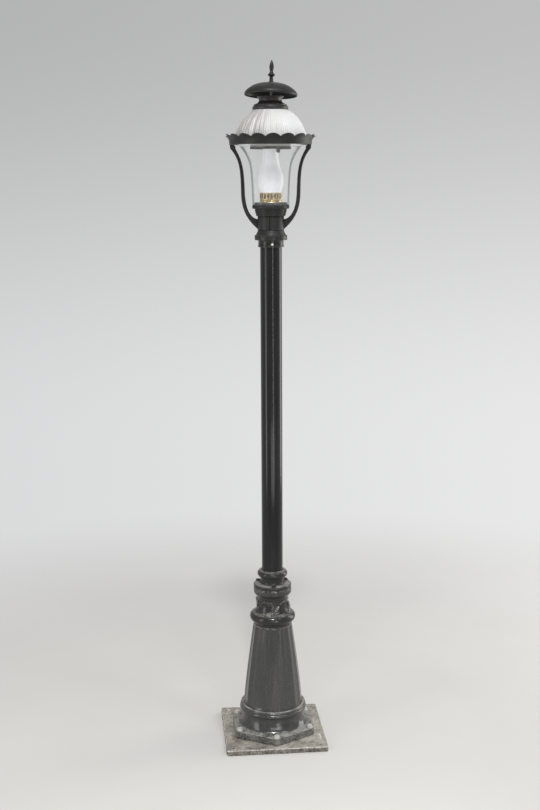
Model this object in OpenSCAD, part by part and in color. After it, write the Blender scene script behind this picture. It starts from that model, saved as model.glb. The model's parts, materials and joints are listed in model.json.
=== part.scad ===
// Street lamp post: a gas-style globe lantern with two cast arms on a round
// post, which stands in a cast base on a square plate. Millimetres.
// Frame: +Z up, origin at the centre of the plate's underside, and X and Y
// along the plate's edges. The lantern is turned on the post by head_turn.

/* [Base plate] */
// Side of the square base plate
plate_side = 368; // [345:1:450]
// Thickness of the base plate
plate_t = 20; // [14:1:32]
// Distance of each corner hole from the plate's centre lines
corner_hole_off = 160; // [155:1:165]
// Radius of the corner anchor holes
corner_hole_r = 7; // [5:0.5:9]
// Radius of the cable hole in the plate's centre
cable_hole_r = 22; // [12:1:28]
// Distance of the two crating studs from the centre along X
stud_x = 159; // [155:1:165]
// Distance of the two crating studs from the centre along Y
stud_y = 121; // [110:1:125]
// Radius of a crating stud
stud_r = 5; // [3:0.5:6]
// Height that a crating stud stands above the plate
stud_h = 19; // [14:1:30]

/* [Foot casting] */
// Width of the hexagonal flange outside the bolt circle, at its corners
hex_edge = 19; // [14:1:22]
// Thickness of the hexagonal flange
hex_t = 27; // [18:1:36]
// Distance of the flange bolts outside the bell's foot
foot_bolt_out = 19; // [16:1:21]
// Radius of a flange bolt's shank
foot_bolt_r = 5; // [4:0.5:6]
// Height of the bell between the flange and the foot bead
bell_h = 54; // [40:1:75]
// Width that the bell's foot stands out from the pedestal
bell_out = 21.5; // [16:0.5:24]
// Section radius of the round bead on top of the bell
foot_bead_r = 13; // [9:1:15]
// Wall of the iron castings
cast_wall = 8; // [6:0.5:10]

/* [Pedestal] */
// Radius of the pedestal at its lower end
ped_bottom_r = 108.5; // [92:0.5:112]
// Width of the pedestal's upper end outside the post's bore
ped_top_out = 32.6; // [28:0.1:40]
// Height of the pedestal
ped_h = 315; // [220:1:420]
// Depth that the pedestal sits inside the foot bead
ped_sink = 9; // [5:1:12]

/* [Capital] */
// Section radius of the capital's large bead
cap_bead_r = 18; // [14:1:22]
// Width that the large bead stands out from the pedestal
cap_bead_out = 13; // [9:1:20]
// Height of the capital, from the pedestal to the collar
cap_h = 141; // [135:1:175]
// Wall of the drum at its waist
drum_wall = 17.6; // [14.6:0.1:21.6]
// Height of the post's seat above the capital's underside
post_seat_h = 49; // [40:1:55]

/* [Post] */
// Outside diameter of the post tube
shaft_d = 76.2; // [62:0.1:92]
// Wall of the post tube
shaft_wall = 3.5; // [2:0.5:6]
// Length of the post tube
shaft_len = 1368; // [1000:1:2600]
// Height of the collar, its flange included
collar_h = 64; // [56:1:90]
// Thickness of the collar's flange
collar_flange_t = 12; // [8:1:16]
// Distance of the collar bolts from the tube's surface
collar_bolt_off = 20.4; // [18:0.1:24]
// Section radius of the collar's bead
collar_bead_r = 12.5; // [9:0.5:13]

/* [Fitter and arms] */
// Turn of the lantern on the post, in degrees
head_turn = -10; // [-45:1:45]
// Depth of the fitter's socket over the post
socket_depth = 42; // [36:1:60]
// Wall of the fitter's skirt
skirt_wall = 5.8; // [4:0.1:8]
// Width that the fitter's ring stands out from the skirt
ring_out = 12.4; // [6:0.1:16]
// Height of the fitter's ring
ring_h = 17; // [10:1:17]
// Outer radius of the clamped barrel
barrel_r = 46; // [44:0.5:50]
// Radius of the spigot inside the barrel
spigot_r = 36; // [32:0.5:38]
// Height of the clamped barrel
barrel_h = 49; // [44:1:60]
// Gap between the globe's mouth and the crown
globe_gap = 5.5; // [3:0.5:40]
// Distance of the hinge pin and the latch inside the crown's edge
eye_in = 11.5; // [11:0.5:12.5]
// Radius of the eye at the top of an arm
eye_r = 9; // [7:0.5:9]
// Thickness of an arm across the eye
arm_w = 14; // [8:1:20]
// Radius of the hinge pin
pin_r = 3; // [2:0.5:4]

/* [Globe and burner] */
// Width of the globe seat's flange outside the globe's foot
seat_rim = 1.2; // [1:0.1:10]
// Height of the globe seat
seat_h = 35; // [32:1:45]
// Radius of the globe's foot
globe_foot_r = 63; // [62:0.5:64]
// Radius of the globe's open mouth
globe_mouth_r = 107; // [95:1:108]
// Height of the globe
globe_h = 198; // [160:1:198]
// Wall of the globe and of the dome
glass_t = 3; // [2:0.5:4]
// Radius of the burner gallery
gallery_r = 38; // [34:0.5:44]
// Height of the burner gallery
gallery_h = 34; // [26:1:38]
// Number of holes in a row round the gallery
gallery_holes = 20; // [8:1:24]
// Radius of the chimney's belly
chimney_belly_r = 43.8; // [40:0.1:48]
// Radius of the chimney's mouth
chimney_mouth_r = 25; // [20:0.5:30]
// Height of the chimney
chimney_h = 206; // [170:1:212]
// Radius of the bulb
bulb_r = 23; // [18:0.5:24]

/* [Crown and dome] */
// Width of the crown's lower edge outside the dome
crown_out = 17.5; // [17:0.5:22]
// Width that the crown's scalloped lip flares out
crown_flare = 12.5; // [7:0.5:18]
// Height of the crown to the tops of the scallops
crown_h = 35; // [28:1:44]
// Number of scallops round the crown
scallops = 18; // [12:1:24]
// Turn of the scallops from the hinge, in degrees
scallop_turn = -2; // [-10:1:10]
// Outside radius of the glass dome
dome_r = 124; // [118:0.5:126]
// Radius of the opening in the dome's top
dome_open_r = 54.562; // [45:0.001:60]
// Radius of the vent collar under the reflector
vent_r = 70; // [60:0.5:80]

/* [Neck and hat] */
// Radius of the neck's waist
neck_waist_r = 38.8; // [34:0.1:44]
// Height of the neck
neck_h = 43.5; // [40:0.5:54]
// Width of the neck's flange outside the dome's opening
neck_seat_w = 6.84; // [5:0.01:14]
// Lean of the hat towards the back, in degrees
hat_lean_back = 5; // [0:0.5:6]
// Lean of the hat to the right, in degrees
hat_lean_right = 1.5; // [0:0.5:3]
// Radius of the hat
hat_r = 90.7; // [80:0.1:105]
// Height of the hat
hat_h = 43; // [36:1:56]
// Height of the finial
finial_h = 76.4; // [60:0.1:95]
// Radius of the finial's knop
knop_r = 12.4; // [10:0.1:16]
// Radius of the tie rod
rod_r = 4; // [3:0.5:5]

/* [Hidden] */

$fn = 96;
screw_fn = 32;

// Clearances: a sliding fit, a thread, a hinge pin in its eye, and two bodies that pass.
slip = 0.3;
thread_gap = 0.05;
pin_gap = 0.05;
pass_gap = 0.3;

// Radii that set the heights.
dome_in_r = dome_r - glass_t;
dome_h = sqrt(dome_in_r * dome_in_r - dome_open_r * dome_open_r);

// Heights, from the ground up.
hex_top = plate_t + hex_t;
foot_bead_z = hex_top + bell_h + foot_bead_r;
foot_top = foot_bead_z + foot_bead_r;
ped_z = foot_top - ped_sink;
cap_z = ped_z + ped_h;
collar_z = cap_z + cap_h;
shaft_z = cap_z + post_seat_h;
shaft_top = shaft_z + shaft_len;
fit_z = shaft_top - socket_depth;
lip_h = 6;
ring_top = shaft_top - 1;
taper_h = 17;
barrel_z = ring_top + taper_h;
seat_z = barrel_z + barrel_h;
seat_top = seat_z + seat_h;
gasket_t = 2.5;
globe_z = seat_top + gasket_t;
deck_rise = 7;
deck_t = 3;
deck_top = seat_top + deck_rise + deck_t;
arm_h = globe_z + globe_h + globe_gap - barrel_z;
crown_z = barrel_z + arm_h;
pin_z = crown_z - eye_r - pass_gap;
shelf_t = 4;
shelf_top = crown_z + 2 * shelf_t;
dome_top = shelf_top + dome_h;
neck_gasket_t = 1.5;
neck_z = dome_top + neck_gasket_t;
neck_top = neck_z + neck_h;

// Radii that follow from others.
shaft_r = shaft_d / 2;
bore_r = shaft_r + slip;
ped_top_r = bore_r + ped_top_out;
cap_bead_outer_r = ped_top_r + cap_bead_out;
drum_waist_r = bore_r + drum_wall;
bell_foot_r = ped_bottom_r + bell_out;
foot_bolt_circle_r = bell_foot_r + foot_bolt_out;
hex_r = foot_bolt_circle_r + hex_edge;
seat_flange_r = globe_foot_r + seat_rim;
crown_foot_r = dome_r + crown_out;
crown_lip_r = crown_foot_r + crown_flare;
eye_off = crown_foot_r - eye_in;
neck_flange_r = dome_open_r + neck_seat_w;
tube_in_r = shaft_r - shaft_wall;
collar_bolt_circle_r = shaft_r + collar_bolt_off;
collar_flange_r = collar_bolt_circle_r + 10.6;
skirt_r = bore_r + skirt_wall;
ring_r = skirt_r + ring_out;
ped_bore_r = ped_bottom_r + slip;
foot_ledge_in_r = ped_bottom_r - 23;
ledge_bolt_r = ped_bottom_r - 16;
foot_bead_ring_r = ped_bottom_r + 2.5;
cap_bolt_circle_r = bore_r + 15;
bar_half = dome_open_r + 9;
bar_t = 4;
bar_top = shelf_top + sqrt(dome_in_r * dome_in_r - bar_half * bar_half) - pass_gap;
neck_wall = 4;
hat_base = neck_top - bar_top + 2.5;
hat_top = hat_base + hat_h;
hat_t = 2.5;
stem_r = 6.5;
stem_bore_r = 4.2;
lead_r = 3.5;
chimney_seat = 2;
spigot_wall = 8;
chimney_base_r = gallery_r - 1.8;
ear_t = 5;
ear_in = arm_w / 2 + pass_gap;
ear_out = ear_in + ear_t;
ear_r = eye_r - 0.5;
crown_wall = 3.5;
reflector_t = 1.5;
reflector_out_r = crown_foot_r - 9.5;
vent_z = crown_z - 6.5;
vent_h = 8.5;

// Points of a cubic curve from a to d with handles b and c, in n steps.
function curve(a, b, c, d, n = 8) = [for (i = [0:n]) let (t = i / n, s = 1 - t)
    s * s * s * a + 3 * s * s * t * b + 3 * s * t * t * c + t * t * t * d];

// The same points in the opposite order.
function back(points) = [for (i = [len(points) - 1:-1:0]) points[i]];

// A profile moved towards the axis by t.
function inner(points, t) = [for (p = points) [p[0] - t, p[1]]];

// A closed wall of thickness t inside an open outer profile.
function wall(points, t) = concat(points, back(inner(points, t)));

module turned(z, points) {
    translate([0, 0, z]) rotate_extrude() polygon(points);
}

module round_bead(z, ring_radius, section_radius) {
    translate([0, 0, z]) rotate_extrude() translate([ring_radius, 0]) circle(section_radius, $fn = 48);
}

module rod(z0, z1, radius, fn = screw_fn) {
    translate([0, 0, z0]) cylinder(h = z1 - z0, r = radius, $fn = fn);
}

module ring(z0, z1, out_r, in_r) {
    difference() {
        rod(z0, z1, out_r, 96);
        rod(z0 - 1, z1 + 1, in_r, 96);
    }
}

// Hexagonal nut or bolt head, by its corner radius.
module hex(z0, z1, corner_r) {
    rod(z0, z1, corner_r, 6);
}

// Copies at n equal steps round the axis, at the given radius.
module around(n, radius, start = 0) {
    for (i = [0:n - 1]) rotate([0, 0, start + i * 360 / n]) translate([radius, 0, 0]) children();
}

// The lantern's own frame on the post.
module lantern() {
    rotate([0, 0, head_turn]) children();
}

// The frame of the tie rod, which leans from the spreader bar's top.
module leaning() {
    lantern() translate([0, 0, bar_top]) rotate([-hat_lean_back, hat_lean_right, 0]) children();
}

module rectangle_corners(x, y) {
    for (i = [-1, 1], j = [-1, 1]) translate([i * x, j * y, 0]) children();
}

module at_studs() {
    for (i = [-1, 1]) translate([i * stud_x, -i * stud_y, 0]) children();
}

// ---- Base ----

stud_depth = 12;

module base_plate() color([0.42, 0.40, 0.37]) difference() {
    translate([-plate_side / 2, -plate_side / 2, 0]) cube([plate_side, plate_side, plate_t]);
    rod(-1, plate_t + 1, cable_hole_r, 64);
    rectangle_corners(corner_hole_off, corner_hole_off) rod(-1, plate_t + 1, corner_hole_r);
    at_studs() rod(plate_t - stud_depth, plate_t + 1, stud_r + thread_gap);
    around(6, foot_bolt_circle_r, 30) rod(plate_t - stud_depth, plate_t + 1, foot_bolt_r + thread_gap);
}

module crating_studs() color([0.62, 0.61, 0.58]) at_studs()
    rod(plate_t - stud_depth, plate_t + stud_h, stud_r);

module stud_nuts() color([0.45, 0.43, 0.40]) at_studs() difference() {
    hex(plate_t, plate_t + 8, 1.9 * stud_r);
    rod(plate_t - 1, plate_t + 9, stud_r + thread_gap);
}

bell = concat([[bell_foot_r, -1], [bell_foot_r, 3]],
    curve([bell_foot_r, 3], [ped_bottom_r + 12, 8], [ped_bottom_r + 3.5, 20], [ped_bottom_r + 2.5, 48]),
    [[ped_bottom_r + 2.5, bell_h + foot_bead_r]]);

module foot_casting() color([0.10, 0.10, 0.10]) difference() {
    union() {
        translate([0, 0, plate_t]) rotate([0, 0, 30]) cylinder(h = hex_t, r = hex_r, $fn = 6);
        turned(hex_top, concat([[0, -1]], bell, [[0, bell_h + foot_bead_r]]));
        round_bead(foot_bead_z, foot_bead_ring_r, foot_bead_r);
        rod(foot_bead_z, foot_top - 2, foot_bead_ring_r + 6, 96);
    }
    rod(ped_z, foot_top + 20, ped_bore_r, 96);
    rod(plate_t - 1, ped_z - 12, ped_bottom_r + 2.5 - cast_wall, 96);
    rod(ped_z - 20, ped_z + 1, foot_ledge_in_r, 96);
    around(3, ledge_bolt_r) rod(ped_z - 13, ped_z + 1, 4.5);
    around(6, foot_bolt_circle_r, 30) rod(plate_t - 1, hex_top + 1, foot_bolt_r + 0.5);
}

module foot_bolts() color([0.55, 0.54, 0.52]) around(6, foot_bolt_circle_r, 30) {
    rod(plate_t - stud_depth + 1, hex_top, foot_bolt_r);
    rod(hex_top, hex_top + 2.5, 2.2 * foot_bolt_r);
    hex(hex_top + 2.5, hex_top + 9, 1.9 * foot_bolt_r);
}

ped_profile = curve([ped_bottom_r, 0], [ped_bottom_r - 3.5, 0.24 * ped_h],
    [ped_top_r + 14, 0.67 * ped_h], [ped_top_r, ped_h], 12);

module pedestal() color([0.12, 0.12, 0.12]) difference() {
    turned(ped_z, concat([[0, 0]], ped_profile, [[0, ped_h]]));
    difference() {
        turned(ped_z, concat([[0, -1]], inner(ped_profile, cast_wall), [[0, ped_h - 1]]));
        ring(ped_z - 2, ped_z + 12, ped_bottom_r, foot_ledge_in_r);
        rod(cap_z - 11, cap_z + 1, ped_top_r + 20, 96);
    }
    rod(cap_z - 20, cap_z + 1, bore_r, 96);
    around(3, ledge_bolt_r) rod(ped_z - 1, ped_z + 9, 4 + thread_gap);
    around(3, cap_bolt_circle_r) rod(cap_z - 12, cap_z + 1, 4.5);
}

module pedestal_bolts() color([0.4, 0.4, 0.4]) around(3, ledge_bolt_r) {
    rod(ped_z - 12, ped_z + 8, 4);
    hex(ped_z - 18, ped_z - 12, 7);
}

// ---- Capital and collar ----

cap_ring_r = cap_bead_outer_r - cap_bead_r;
cap_bead_z = 10.5 + cap_bead_r;
drum_profile = concat([[cap_ring_r + 4, cap_bead_z]],
    curve([drum_waist_r + 7.5, cap_bead_z + cap_bead_r], [drum_waist_r + 1.5, cap_bead_z + cap_bead_r + 15],
        [drum_waist_r - 1.5, cap_h - 56], [drum_waist_r + 0.5, cap_h - 43]),
    [[drum_waist_r + 6, cap_h - 29], [collar_flange_r - 1, cap_h - 23],
     [collar_flange_r, cap_h - 20], [collar_flange_r, cap_h]]);

module capital() color([0.08, 0.08, 0.08]) difference() {
    union() {
        turned(cap_z, concat([[0, 0], [ped_top_r, 0], [ped_top_r, 8]], drum_profile, [[0, cap_h]]));
        round_bead(cap_z + 5, ped_top_r - 0.5, 4);
        round_bead(cap_z + cap_bead_z, cap_ring_r, cap_bead_r);
    }
    rod(shaft_z, collar_z + 1, bore_r, 96);
    rod(cap_z - 1, shaft_z + 1, tube_in_r, 96);
    around(3, cap_bolt_circle_r) rod(cap_z - 1, cap_z + 15, 4 + thread_gap);
    around(3, collar_bolt_circle_r, -90) rod(collar_z - 16, collar_z + 1, 4 + thread_gap);
}

module capital_bolts() color([0.4, 0.4, 0.4]) around(3, cap_bolt_circle_r) {
    rod(cap_z - 11, cap_z + 14, 4);
    hex(cap_z - 17, cap_z - 11, 7);
}

cove_r = bore_r + 4;

module post_collar() color([0.12, 0.12, 0.12]) difference() {
    union() {
        turned(collar_z, [[0, 0], [collar_flange_r, 0], [collar_flange_r, collar_flange_t - 3],
            [collar_flange_r - 3, collar_flange_t], [cove_r + 1.5, collar_flange_t + 1],
            [cove_r, collar_flange_t + 5], [cove_r, collar_h - 1], [bore_r + 1.5, collar_h], [0, collar_h]]);
        round_bead(collar_z + collar_h - collar_bead_r - 2, cove_r, collar_bead_r);
    }
    rod(collar_z - 1, collar_z + collar_h + 1, bore_r, 96);
    around(3, collar_bolt_circle_r, -90) rod(collar_z - 1, collar_z + collar_flange_t + 2, 4.5);
}

module collar_bolts() color([0.06, 0.06, 0.06]) around(3, collar_bolt_circle_r, -90) {
    rod(collar_z - 15, collar_z + collar_flange_t + 1.5, 4);
    hex(collar_z + collar_flange_t + 1.5, collar_z + collar_flange_t + 7, 7.2);
}

module post_shaft() color([0.10, 0.10, 0.10]) ring(shaft_z, shaft_top, shaft_r, tube_in_r);

// ---- Wiring ----

bracket_half = 38;
bracket_h = 60;
bracket_t = 4;
bracket_w = 30;
block_h = 26;
bracket_top = plate_t + bracket_h;

module terminal_bracket() color([0.6, 0.6, 0.6]) difference() {
    union() {
        for (i = [-1, 1]) {
            translate([i * bracket_half - bracket_t / 2, -bracket_w / 2, plate_t])
                cube([bracket_t, bracket_w, bracket_h]);
            translate([i > 0 ? bracket_half : -bracket_half - 16, -bracket_w / 2, plate_t])
                cube([16, bracket_w, bracket_t]);
        }
        translate([-bracket_half - bracket_t / 2, -bracket_w / 2, bracket_top - bracket_t])
            cube([2 * bracket_half + bracket_t, bracket_w, bracket_t]);
    }
    translate([26, 0, 0]) rod(bracket_top - 10, bracket_top + 1, 6);
}

module terminal_block() color([0.85, 0.84, 0.80]) translate([-19, -12, bracket_top]) cube([38, 24, block_h]);

module riser_lead() color([0.05, 0.05, 0.05]) rod(bracket_top + block_h, deck_top + 12, lead_r);

// ---- Fitter ----

spigot_top = seat_z + 10;
web_t = 6;

module post_fitter() color([0.10, 0.10, 0.11]) lantern() difference() {
    union() {
        turned(fit_z, [[0, 0], [skirt_r + 1.2, 0], [skirt_r + 1.2, lip_h], [skirt_r, lip_h],
            [skirt_r, socket_depth - 1 - ring_h], [ring_r, socket_depth - 1 - ring_h],
            [ring_r, socket_depth - 1], [barrel_r - 2.2, socket_depth - 1 + taper_h],
            [0, socket_depth - 1 + taper_h]]);
        rod(barrel_z - 1, spigot_top, spigot_r, 96);
    }
    rod(fit_z - 1, shaft_top, bore_r, 96);
    rod(shaft_top - 1, spigot_top - web_t, spigot_r - spigot_wall, 96);
    rod(spigot_top - web_t - 1, spigot_top + 1, stem_r + thread_gap);
    at_set_screws() rod(bore_r - 2, skirt_r + 5, 3 + thread_gap);
    at_yoke_screws() rod(spigot_r - spigot_wall - 1, spigot_r + 1, 2.7);
}

set_screw_z = fit_z + lip_h + 5;

module at_set_screws() {
    around(3, 0, -90 - head_turn) translate([0, 0, set_screw_z]) rotate([0, 90, 0]) children();
}

module set_screws() color([0.80, 0.80, 0.78]) lantern() at_set_screws() {
    rod(shaft_r, skirt_r + 0.5, 3);
    rod(skirt_r + 0.5, skirt_r + 3.5, 5);
}

module at_yoke_screws() {
    for (side = [0, 180], z = [0.26, 0.74]) rotate([0, 0, side])
        translate([0, 0, barrel_z + z * barrel_h]) rotate([0, 90, 0]) children();
}

screw_seat = spigot_r - spigot_wall - 0.4;

module yoke_screws() color([0.5, 0.5, 0.5]) lantern() at_yoke_screws() {
    rod(screw_seat - 3, screw_seat, 4.5);
    rod(screw_seat, spigot_r + 6, 2.5);
}

slot_half = 1;
rib_w = 2.8;
rib_out = 2;
arm_root_low = [barrel_r - 3, 0.4];
arm_root_high = [barrel_r - 3, 37];
eye_drop = arm_h - (crown_z - pin_z);

// Outline of an arm in its own plane: distance from the axis and height above the barrel's foot.
arm_outer = concat(
    curve([eye_off + 7, eye_drop - 5.5], [eye_off - 24, 0.824 * arm_h], [eye_off - 25.5, 0.703 * arm_h],
        [eye_off - 27, 0.472 * arm_h], 10),
    curve([eye_off - 27, 0.472 * arm_h], [eye_off - 27, 0.307 * arm_h], [eye_off - 33, 0.159 * arm_h],
        arm_root_low, 12));
arm_inner = concat(
    curve([eye_off - 8.5, eye_drop - 3], [eye_off - 35, 0.8 * arm_h], [eye_off - 37.5, 0.703 * arm_h],
        [eye_off - 40, 0.472 * arm_h], 10),
    curve([eye_off - 40, 0.472 * arm_h], [eye_off - 41, 0.307 * arm_h], [eye_off - 50, 0.166 * arm_h],
        [barrel_r + 6, 38.5], 12),
    [arm_root_high]);

// One half of the clamped barrel with its arm, on the +X side.
module yoke() {
    z0 = barrel_z + slip;
    z1 = seat_z - slip;
    difference() {
        union() {
            intersection() {
                union() {
                    rod(z0, z1, barrel_r, 96);
                    translate([0, -barrel_r - rib_out, z0])
                        cube([slot_half + rib_w, 2 * (barrel_r + rib_out), z1 - z0]);
                }
                translate([slot_half, -2 * barrel_r, z0]) cube([2 * barrel_r, 4 * barrel_r, z1 - z0]);
            }
            translate([0, arm_w / 2, barrel_z]) rotate([90, 0, 0]) linear_extrude(arm_w) {
                polygon(concat(arm_outer, back(arm_inner)));
                translate([eye_off, eye_drop]) circle(eye_r, $fn = 48);
            }
        }
        rod(z0 - 1, z1 + 1, spigot_r + slip / 2, 96);
        at_yoke_screws() rod(spigot_r - 2, spigot_r + 6.5, 2.5 + thread_gap);
    }
}

module along_eye(y0, y1, radius, fn = screw_fn) {
    translate([eye_off, y1, pin_z]) rotate([90, 0, 0]) cylinder(h = y1 - y0, r = radius, $fn = fn);
}

module yoke_left() color([0.06, 0.06, 0.06]) lantern() rotate([0, 0, 180]) difference() {
    yoke();
    along_eye(-arm_w, arm_w, pin_r + pin_gap);
}

module yoke_right() color([0.06, 0.06, 0.06]) lantern() yoke();

// ---- Globe and burner ----

step = 8.2;
step_h = 3 * step;
upstand_r = globe_foot_r - 6;

module globe_seat() color([0.10, 0.10, 0.11]) lantern() difference() {
    union() {
        turned(seat_z, [[0, 0], [barrel_r + 5.4, 0], [barrel_r + 5.4, step], [barrel_r + 7.8, step],
            [barrel_r + 7.8, 2 * step], [barrel_r + 9.5, 2 * step], [barrel_r + 9.5, step_h],
            [seat_flange_r - 1.5, step_h], [seat_flange_r, step_h + 1.5], [seat_flange_r, seat_h], [0, seat_h]]);
        ring(seat_top - 1, seat_top + deck_rise, upstand_r, upstand_r - 5);
    }
    rod(seat_z - 1, spigot_top, spigot_r + slip / 2, 96);
    rod(spigot_top - 1, seat_top - 6, spigot_r - 4, 96);
    rod(seat_top - 7, seat_top + 1, stem_r + thread_gap);
}

module lamp_stem() color([0.75, 0.62, 0.30]) difference() {
    rod(spigot_top - web_t - 12, deck_top + 12, stem_r);
    rod(spigot_top - web_t - 13, deck_top + 13, stem_bore_r);
}

module stem_nut() color([0.75, 0.62, 0.30]) difference() {
    hex(spigot_top - web_t - 8, spigot_top - web_t, 14);
    rod(spigot_top - web_t - 9, spigot_top, stem_r + thread_gap);
}

module globe_gasket() color([0.12, 0.12, 0.12]) ring(seat_top, globe_z, globe_foot_r, globe_foot_r - 5);

globe_profile = concat([[globe_foot_r, 0]],
    curve([globe_foot_r + 0.5, 12], [globe_foot_r + 2.5, 0.28 * globe_h],
        [globe_foot_r + 3.5, 0.45 * globe_h], [globe_foot_r + 7.2, 0.62 * globe_h]),
    curve([globe_foot_r + 9, 0.70 * globe_h], [globe_foot_r + 13, 0.80 * globe_h],
        [globe_mouth_r - 18, 0.90 * globe_h], [globe_mouth_r, globe_h]));

module globe() color([0.9, 0.93, 0.95, 0.35]) turned(globe_z, wall(globe_profile, glass_t));

module burner_deck() color([0.16, 0.16, 0.17]) difference() {
    rod(deck_top - deck_t, deck_top, upstand_r, 96);
    rod(deck_top - deck_t - 1, deck_top + 1, stem_r + thread_gap);
}

module gallery() color([0.72, 0.62, 0.36]) lantern() difference() {
    union() {
        ring(deck_top, deck_top + gallery_h, gallery_r, gallery_r - 1.5);
        ring(deck_top, deck_top + chimney_seat, gallery_r - 1, gallery_r - 8);
    }
    around(gallery_holes, 0) translate([0, 0, deck_top + 0.62 * gallery_h]) rotate([0, 90, 0])
        rod(gallery_r - 5, gallery_r + 3, 3.4);
}

chimney_profile = concat([[chimney_base_r, 0]],
    curve([chimney_base_r, gallery_h - chimney_seat + 1], [chimney_base_r + 1.3, 0.204 * chimney_h],
        [chimney_belly_r, 0.267 * chimney_h], [chimney_belly_r, 0.345 * chimney_h], 6),
    curve([chimney_belly_r - 0.1, 0.38 * chimney_h], [chimney_belly_r - 1.5, 0.47 * chimney_h],
        [chimney_mouth_r + 8, 0.54 * chimney_h], [chimney_mouth_r + 4.5, 0.64 * chimney_h], 6),
    curve([chimney_mouth_r + 3.4, 0.69 * chimney_h], [chimney_mouth_r + 1, 0.77 * chimney_h],
        [chimney_mouth_r - 0.5, 0.86 * chimney_h], [chimney_mouth_r + 0.5, chimney_h], 6));

module chimney() color([0.92, 0.93, 0.95]) turned(deck_top + chimney_seat, wall(chimney_profile, 2));

holder_h = 38;

module lamp_holder() color([0.93, 0.92, 0.88]) difference() {
    rod(deck_top, deck_top + holder_h, 19, 64);
    rod(deck_top - 1, deck_top + 12, stem_r + thread_gap);
    rod(deck_top + 15, deck_top + holder_h + 1, 14, 64);
}

module bulb_cap() color([0.75, 0.65, 0.38]) rod(deck_top + 15, deck_top + holder_h + 2, 13, 64);

bulb_profile = concat([[0, 0], [12.5, 0]],
    curve([12.5, 4], [bulb_r - 3, 12], [bulb_r, 18], [bulb_r, 34]),
    curve([bulb_r - 0.4, 40], [bulb_r - 2, 58], [bulb_r - 9, 72], [0, 76]));

module bulb() color([0.95, 0.95, 0.93]) turned(deck_top + holder_h + 2, bulb_profile);

// ---- Crown and dome: they swing up together on the hinge pin ----

crown_outer = concat([[crown_foot_r, 0]],
    curve([crown_foot_r + 0.3, 0.28 * crown_h], [crown_foot_r + 1, 0.5 * crown_h],
        [crown_lip_r - 7, 0.72 * crown_h], [crown_lip_r, crown_h]));
notch_depth = 10.5;
lobe_pitch = 2 * crown_lip_r * sin(180 / scallops);
lobe_r = (notch_depth * notch_depth + lobe_pitch * lobe_pitch / 4) / (2 * notch_depth);

// The gap between two scallops, cut square to the crown's wall.
module notch() {
    translate([0, 0, crown_z + crown_h - notch_depth]) rotate([90, 0, 90]) linear_extrude(40)
        difference() {
            translate([-lobe_pitch / 2, 0]) square([lobe_pitch, notch_depth + 4]);
            for (i = [-1, 1]) translate([i * lobe_pitch / 2, notch_depth - lobe_r]) circle(lobe_r, $fn = 64);
        }
}

// An ear of the crown beside an arm's eye.
module ear(y0) {
    translate([0, y0 + ear_t, crown_z]) rotate([90, 0, 0]) linear_extrude(ear_t) {
        translate([eye_off, pin_z - crown_z]) circle(ear_r, $fn = 48);
        translate([crown_foot_r - 8, pin_z - crown_z]) square([6, crown_z - pin_z + 2]);
    }
}

module crown() color([0.07, 0.07, 0.07]) lantern() difference() {
    union() {
        difference() {
            turned(crown_z, concat(crown_outer, back(inner(crown_outer, crown_wall)),
                [[crown_foot_r - 7.5, 0]]));
            around(scallops, crown_foot_r - 10, scallop_turn + 180 / scallops) notch();
        }
        ring(crown_z, crown_z + shelf_t + 1, crown_foot_r - 1, crown_foot_r - 7.5);
        ring(shelf_top - shelf_t, shelf_top, crown_foot_r - 2, dome_in_r - 7);
        for (turn = [0, 180], y0 = [-ear_out, ear_in]) rotate([0, 0, turn]) ear(y0);
    }
    rotate([0, 0, 180]) along_eye(-arm_w - 10, arm_w + 10, pin_r + pin_gap);
    along_eye(0, arm_w + 10, pin_r + thread_gap);
}

module hinge_pin() color([0.3, 0.3, 0.3]) lantern() rotate([0, 0, 180]) {
    along_eye(-ear_out - 2, ear_out + 2, pin_r);
    along_eye(-ear_out - 2, -ear_out, pin_r + 2);
    along_eye(ear_out, ear_out + 2, pin_r + 2);
}

module latch_screw() color([0.2, 0.2, 0.2]) lantern() {
    along_eye(arm_w / 2 + pass_gap, ear_out + 3, pin_r);
    along_eye(ear_out + 1.5, ear_out + 10, eye_r - 1);
}

module dome() color([0.9, 0.9, 0.88, 0.6]) translate([0, 0, shelf_top]) difference() {
    sphere(dome_r);
    sphere(dome_in_r);
    translate([0, 0, -2 * dome_r]) rod(0, 2 * dome_r, 2 * dome_r, 96);
    rod(dome_h, 2 * dome_r, 2 * dome_r, 96);
}

module dome_clips() color([0.6, 0.6, 0.6]) lantern() around(3, 0, 30)
    translate([dome_r + 0.2, -7, shelf_top]) cube([crown_foot_r - crown_wall - dome_r - 0.8, 14, 9]);

module reflector() color([0.92, 0.92, 0.90]) difference() {
    turned(vent_z, [[vent_r - 4, 0], [vent_r + 4, 0], [dome_in_r - 5, 8.5], [reflector_out_r, 8.5],
        [reflector_out_r, 8.5 + reflector_t], [dome_in_r - 5, 8.5 + reflector_t],
        [vent_r + 4, reflector_t], [vent_r - 4, reflector_t]]);
    at_reflector_screws() rod(vent_z, crown_z + 10, 2.3);
}

module at_reflector_screws() {
    lantern() around(3, dome_in_r + 2, 90) children();
}

module reflector_screws() color([0.7, 0.7, 0.7]) at_reflector_screws() {
    rod(vent_z + 6.5, vent_z + 8.5, 4);
    rod(vent_z + 8.5, crown_z + shelf_t, 2);
}

module vent_collar() color([0.25, 0.22, 0.21]) ring(vent_z - vent_h, vent_z, vent_r, vent_r - 2);

module collar_clip() color([0.30, 0.20, 0.18]) lantern() rotate([0, 0, -64])
    translate([vent_r + 0.1, -7, vent_z - 21.5]) cube([1.5, 14, 21.5]);

// ---- Neck, hat and finial ----

module neck_gasket() color([0.15, 0.15, 0.15])
    ring(dome_top, neck_z, neck_flange_r - 1, dome_open_r);

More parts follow.
